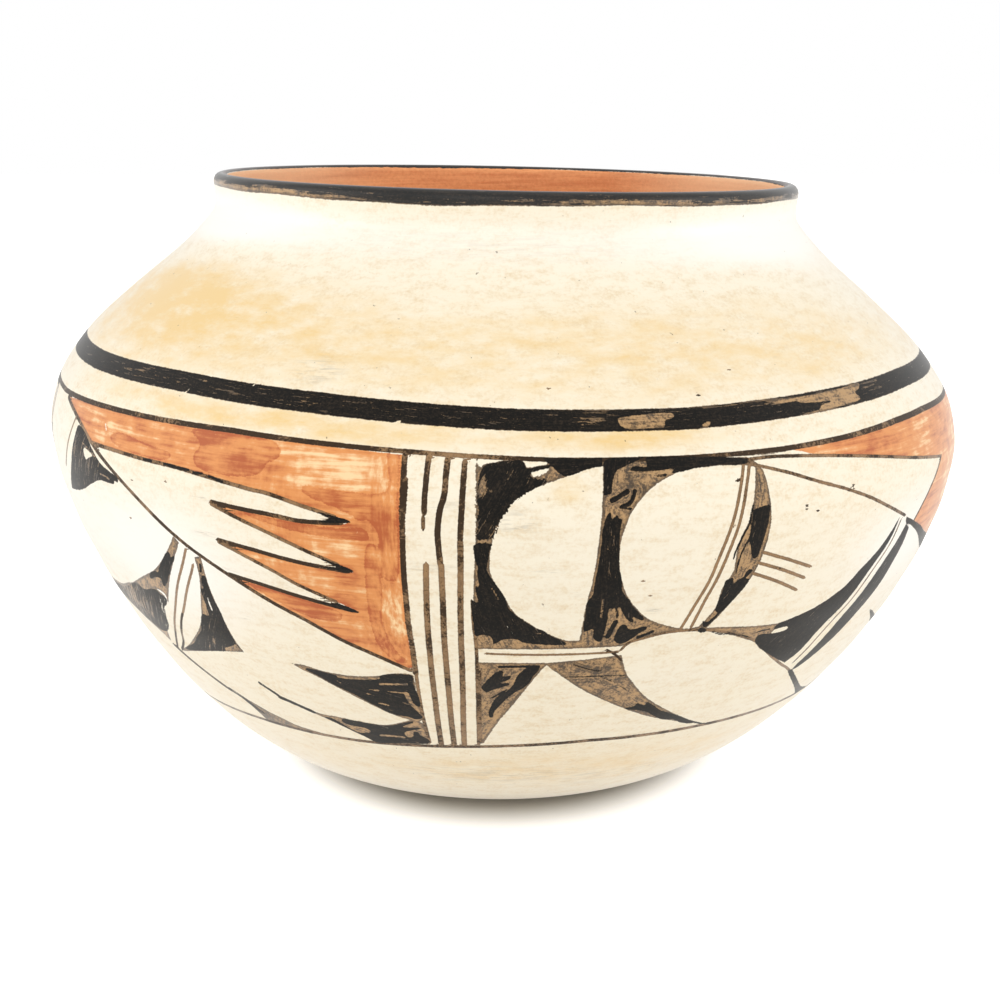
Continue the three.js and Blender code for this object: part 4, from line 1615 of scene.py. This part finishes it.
def ragged_edge(n):
    """How far the edges of the paints stray, in millimetres, and farther where the brush ran dry."""
    coarse = n.scaled(n.texture(*EDGE_COARSE), *EDGE_COARSE_GAIN)
    fine = n.scaled(n.texture(*EDGE_FINE), *EDGE_FINE_GAIN)
    fine = n.math("MULTIPLY", fine, n.scaled(n.attribute("dry"), *EDGE_DRY_GAIN))
    return n.math("ADD", coarse, fine)


def painted_slip(name, shine, rough):
    """Slip and all the paints on it. Black is duller than slip."""
    n = Nodes(name)
    colour, relief = slip_layer(n)
    edge = ragged_edge(n)
    colour = rust_layer(n, colour, edge)
    colour, black = ink_layer(n, colour, edge)
    roughness = n.scaled(relief, RELIEF_ROUGH, rough)
    inputs = n.shader.inputs
    n.feed(inputs["Base Color"], colour)
    n.feed(inputs["Roughness"], n.scaled(black, BLACK_ROUGH, roughness))
    n.feed(inputs["Normal"], n.bump(relief, *SLIP_BUMP))
    n.feed(inputs["Specular IOR Level"], n.scaled(black, BLACK_SHINE - SLIP_SHINE, shine))
    n.feed(inputs["Sheen Weight"], n.scaled(black, BLACK_SHEEN - SLIP_SHEEN, SLIP_SHEEN))
    inputs["Sheen Roughness"].default_value = SHEEN_ROUGH
    return n.material


def bare_clay():
    """Orange clay with the marks of wiping, painted light that makes it paler towards the two sides, and
    the inner edge of the lip's paint.
    """
    n = Nodes("bare_clay")
    wipe = n.texture(*CLAY_WIPE)
    grain = n.texture(*CLAY_GRAIN)
    tone = n.math("ADD", wipe, n.math("MULTIPLY", grain, CLAY_GRAIN_GAIN))
    colour = n.mix(n.step(tone, *CLAY_STEP), CLAY_LIGHT, CLAY_DARK)
    # Painted light: the clay grows paler with distance to the left and right, where the side lamps fall
    aside = n.new("VectorMath", operation="LENGTH")
    n.feed(aside.inputs[0], n.place(1, 0, 0))
    side_light = n.math("MULTIPLY", n.step(aside.outputs["Value"], *CLAY_SIDE_LIGHT_STEP), CLAY_SIDE_LIGHT_SHARE)
    colour = n.mix(side_light, colour, CLAY_PAINTED_LIGHT)
    edge = n.scaled(n.texture(*CLAY_EDGE), *CLAY_EDGE_GAIN)
    colour = ink_layer(n, colour, edge)[0]
    n.feed(n.shader.inputs["Base Color"], colour)
    n.feed(n.shader.inputs["Roughness"], n.scaled(grain, *CLAY_ROUGH_GAIN))
    n.feed(n.shader.inputs["Normal"], n.bump(n.math("ADD", wipe, grain), *CLAY_BUMP))
    return n.material


# Pieces

def add_attribute(mesh, name, values):
    layer = mesh.attributes.new(name, "FLOAT", "POINT")
    layer.data.foreach_set("value", values.astype(np.float32))


def make_piece(name, strips, caps, materials):
    """A closed ring of clay from bands of rings that follow one another round its section."""
    points, normals, faces, kinds, rings = [], [], [], [], []
    first = 0
    for rows, columns, inside, kind in strips:
        place, normal = clay_strip(rows, columns, inside)
        points.append(place)
        normals.append(normal)
        quads = strip_faces(len(rows), columns, first)
        faces += quads
        kinds += [kind] * len(quads)
        last = first + (len(rows) - 1) * columns
        rings.append((list(range(first, first + columns)), list(range(last, last + columns))))
        first = last + columns
    for index in range(len(rings)):
        if caps and index == len(rings) - 1:
            faces += [rings[index][1], rings[0][0][::-1]]
            kinds += [strips[index][3], strips[0][3]]
            continue
        joints = bed_faces(rings[index][1], rings[(index + 1) % len(rings)][0])
        faces += joints
        kinds += [strips[(index + 1) % len(strips)][3]] * len(joints)
    mesh = bpy.data.meshes.new(name)
    mesh.from_pydata(np.vstack(points).tolist(), [], faces)
    mesh.polygons.foreach_set("use_smooth", [True] * len(faces))
    for material in materials:
        mesh.materials.append(material)
    mesh.polygons.foreach_set("material_index", kinds)
    mesh.normals_split_custom_set_from_vertices(np.vstack(normals).tolist())
    piece = bpy.data.objects.new(name, mesh)
    bpy.context.scene.collection.objects.link(piece)
    return piece


def strip_places(strips):
    """Azimuth, distance along the section and height of every vertex of a piece's strips."""
    azimuth = np.concatenate([np.tile(np.arange(s[1]) * TURN / s[1], len(s[0])) for s in strips])
    run = np.concatenate([np.repeat(s[0], s[1]) for s in strips])
    azimuth = (azimuth + 180) % TURN - 180
    return azimuth, run, np.interp(run, RUN, SECTION[:, 1])


def store_paint(piece, paint, azimuth, height, outer):
    """Writes the paint as attributes, with none on the inside."""
    for kind in PAINTS:
        add_attribute(piece.data, kind, np.where(outer, paint.depth[kind], OUTSIDE))
    add_attribute(piece.data, "line_depth", np.where(outer, paint.line_depth, OUTSIDE))
    for name in ("patchy", "along", "across", "line_side", "line_half", "line_patchy"):
        add_attribute(piece.data, name, getattr(paint, name))
    add_attribute(piece.data, "cloud_and_highlight", soft_spots(azimuth, height, CLOUDS_AND_HIGHLIGHTS))
    add_attribute(piece.data, "smudge_and_shade", soft_spots(azimuth, height, SMUDGES_AND_SHADE))
    add_attribute(piece.data, "rust_tone_and_glare", field_tone_and_glare(azimuth, height))
    for name, spots in (("wash_tone", WASH_TONES), ("dry", DRY_PLACES), ("upright", RUST_UPRIGHT)):
        add_attribute(piece.data, name, spots_all_round(azimuth, height, spots))


def paint_lip(azimuth, run):
    """The black lip, with a worn lower edge."""
    paint = Paint(azimuth, np.full(len(azimuth), RIM_FOOT))
    angle = np.radians(azimuth)
    waver = sum(size * np.sin(count * angle + phase) for count, phase, size in LIP_WAVER)
    low = rim_run(LIP_PAINT_OUTSIDE) + waver + LIP_SIDE_RISE * np.sin(angle) ** 2
    high = rim_run(LIP_PAINT_INSIDE, True) - LIP_WAVER_INSIDE * waver
    depth = np.minimum(run - low, high - run)
    every = np.arange(len(azimuth))
    along = azimuth * math.radians(LIP_RADIUS)
    worn = np.full(len(azimuth), LIP_WORN)
    for place, wide, strength in LIP_WEAR:
        worn = worn + strength * np.exp(-(((azimuth - place + 180) % TURN - 180) / wide) ** 2)
    washed = np.minimum(run - low + LIP_WASH_BEYOND - LIP_WASH_WORN * worn, high - run)
    paint.lay("wash", every, washed, LIP_PATCHY, along, run)
    paint.lay("black", every, depth, LIP_PATCHY, along, run)
    above = (run - low - LIP_WEAR_ABOVE) / LIP_WEAR_TALL
    paint.patchy = paint.patchy + worn * np.exp(-above ** 2)
    return paint


def dress(piece, node):
    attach(piece, "root")
    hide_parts(node)


def node_heights(node):
    low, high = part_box(node)
    return low.z / MM, high.z / MM


def make_base(materials):
    high = node_heights("base_pat")[1]
    outer = strip_rows(0.0, outside_run(high), PLAIN_STEP)
    inner = strip_rows(inside_run(high), RUN[-1], INSIDE_STEP)
    strips = [(outer, PLAIN_COLUMNS, False, 0), (inner, INSIDE_COLUMNS, True, 1)]
    piece = make_piece("clay_base_pat", strips, True, materials)
    azimuth, run, height = strip_places(strips)
    store_paint(piece, Paint(azimuth, height), azimuth, height, run < inside_run(high))
    dress(piece, "base_pat")


def make_coil(node, materials):
    low, high = node_heights(node)
    painted = high > PAINT_LOW and low < PAINT_HIGH
    step = PAINTED_STEP if painted else PLAIN_STEP
    columns = PAINTED_COLUMNS if painted else PLAIN_COLUMNS
    outer = strip_rows(outside_run(low), outside_run(high), step)
    inner = strip_rows(inside_run(high), inside_run(low), INSIDE_STEP)
    strips = [(outer, columns, False, 0), (inner, INSIDE_COLUMNS, True, 1)]
    piece = make_piece("clay_" + node, strips, False, materials)
    azimuth, run, height = strip_places(strips)
    paint = paint_wall(azimuth, height) if painted else Paint(azimuth, height)
    store_paint(piece, paint, azimuth, height, run < RUN[RIM_FROM])
    dress(piece, node)


def make_rim(materials):
    foot = outside_run(RIM_FOOT)
    black_end = rim_run(LIP_PAINT_INSIDE, True)
    outer = strip_rows(foot, black_end, RIM_STEP)
    inner = strip_rows(black_end, inside_run(RIM_FOOT), PLAIN_STEP)
    strips = [(outer, PLAIN_COLUMNS, False, 0), (inner[1:], PLAIN_COLUMNS, False, 1)]
    piece = make_piece("clay_rim_coil", strips, False, materials)
    azimuth, run, height = strip_places(strips)
    store_paint(piece, paint_lip(azimuth, run), azimuth, height, run > 0)
    dress(piece, "rim_coil")


def make_jar():
    clay = bare_clay()
    materials = [painted_slip("painted_slip", SLIP_SHINE, SLIP_ROUGH), clay]
    rim_materials = [painted_slip("painted_lip", LIP_SHINE, LIP_ROUGH), clay]
    make_base(materials)
    for node in sorted(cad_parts):
        if node not in ("base_pat", "rim_coil"):
            make_coil(node, materials)
    make_rim(rim_materials)


# Stage, light and camera

def seen_directly(tree):
    """1 for rays from the camera, in reflections or through glass, and 0 for those that carry light."""
    path = tree.nodes.new("ShaderNodeLightPath")
    seen = path.outputs["Is Camera Ray"]
    for name in ("Is Glossy Ray", "Is Transmission Ray"):
        either = tree.nodes.new("ShaderNodeMath")
        either.operation = "MAXIMUM"
        tree.links.new(seen, either.inputs[0])
        tree.links.new(path.outputs[name], either.inputs[1])
        seen = either.outputs[0]
    return seen


def floor_material():
    """Pale floor that shows white to the camera, keeps the jar's shadow, and has a painted shade round the
    foot where its glow fades out.
    """
    n = Nodes("floor_white")
    n.tree.nodes.remove(n.shader)
    diffuse = n.new("BsdfDiffuse")
    diffuse.inputs["Color"].default_value = FLOOR_WHITE
    glow = n.new("Emission")
    # Painted shade: the glow is none near the jar and grows outwards, sooner at the sides, so the floor
    # round the foot stays darker
    away = n.new("VectorMath", operation="LENGTH")
    n.feed(away.inputs[0], n.place(SHADOW_SQUEEZE * MM, MM, MM))
    far = n.step(away.outputs["Value"], FLOOR_NEAR, FLOOR_FAR)
    level = n.scaled(far, FLOOR_GLOW_FAR - FLOOR_GLOW_NEAR, FLOOR_GLOW_NEAR)
    share = n.scaled(seen_directly(n.tree), 1 - FLOOR_BOUNCE, FLOOR_BOUNCE)
    n.feed(glow.inputs["Strength"], n.math("MULTIPLY", share, level))
    both = n.new("AddShader")
    n.feed(both.inputs[0], diffuse.outputs[0])
    n.feed(both.inputs[1], glow.outputs[0])
    n.feed(n.tree.nodes["Material Output"].inputs["Surface"], both.outputs[0])
    return n.material


def make_floor():
    half = FLOOR_SIZE / 2
    corners = [(x * half, y * half, -FLOOR_DROP) for x, y in ((-1, -1), (1, -1), (1, 1), (-1, 1))]
    mesh = bpy.data.meshes.new("floor")
    mesh.from_pydata(corners, [], [(0, 1, 2, 3)])
    mesh.materials.append(floor_material())
    floor = bpy.data.objects.new("floor", mesh)
    bpy.context.scene.collection.objects.link(floor)


def make_world():
    """White to the camera and in reflections, and a plain level of light for the rest."""
    world = bpy.data.worlds.new("studio")
    world.use_nodes = True
    tree = world.node_tree
    background = tree.nodes["Background"]
    strength = tree.nodes.new("ShaderNodeMapRange")
    strength.inputs["To Min"].default_value = SKY_LIGHT
    tree.links.new(seen_directly(tree), strength.inputs["Value"])
    tree.links.new(strength.outputs[0], background.inputs["Strength"])
    background.inputs["Color"].default_value = (1, 1, 1, 1)
    bpy.context.scene.world = world


def make_lamp(name, place, size, power):
    """A soft square lamp that looks at the middle of the jar."""
    lamp = bpy.data.lights.new(name, "AREA")
    lamp.shape = "SQUARE"
    lamp.size = size
    lamp.energy = power
    holder = bpy.data.objects.new(name, lamp)
    holder.location = place
    away = np.array(place) - LAMP_AIM
    turn = math.atan2(away[0], -away[1])
    tilt = math.atan2(math.hypot(away[0], away[1]), away[2])
    holder.rotation_euler = (tilt, 0, turn)
    bpy.context.scene.collection.objects.link(holder)


def make_camera():
    camera = bpy.data.cameras.new("camera")
    camera.lens = CAMERA_LENS
    camera.sensor_width = CAMERA_SENSOR
    camera.clip_start = CAMERA_CLIP
    holder = bpy.data.objects.new("camera", camera)
    holder.location = CAMERA_PLACE
    holder.rotation_euler = (math.radians(90 - CAMERA_PITCH), 0, 0)
    bpy.context.scene.collection.objects.link(holder)
    bpy.context.scene.camera = holder


make_camera()
make_floor()
make_world()
for lamp in LAMPS:
    make_lamp(*lamp)
bpy.context.scene.view_settings.view_transform = "Standard"
make_jar()
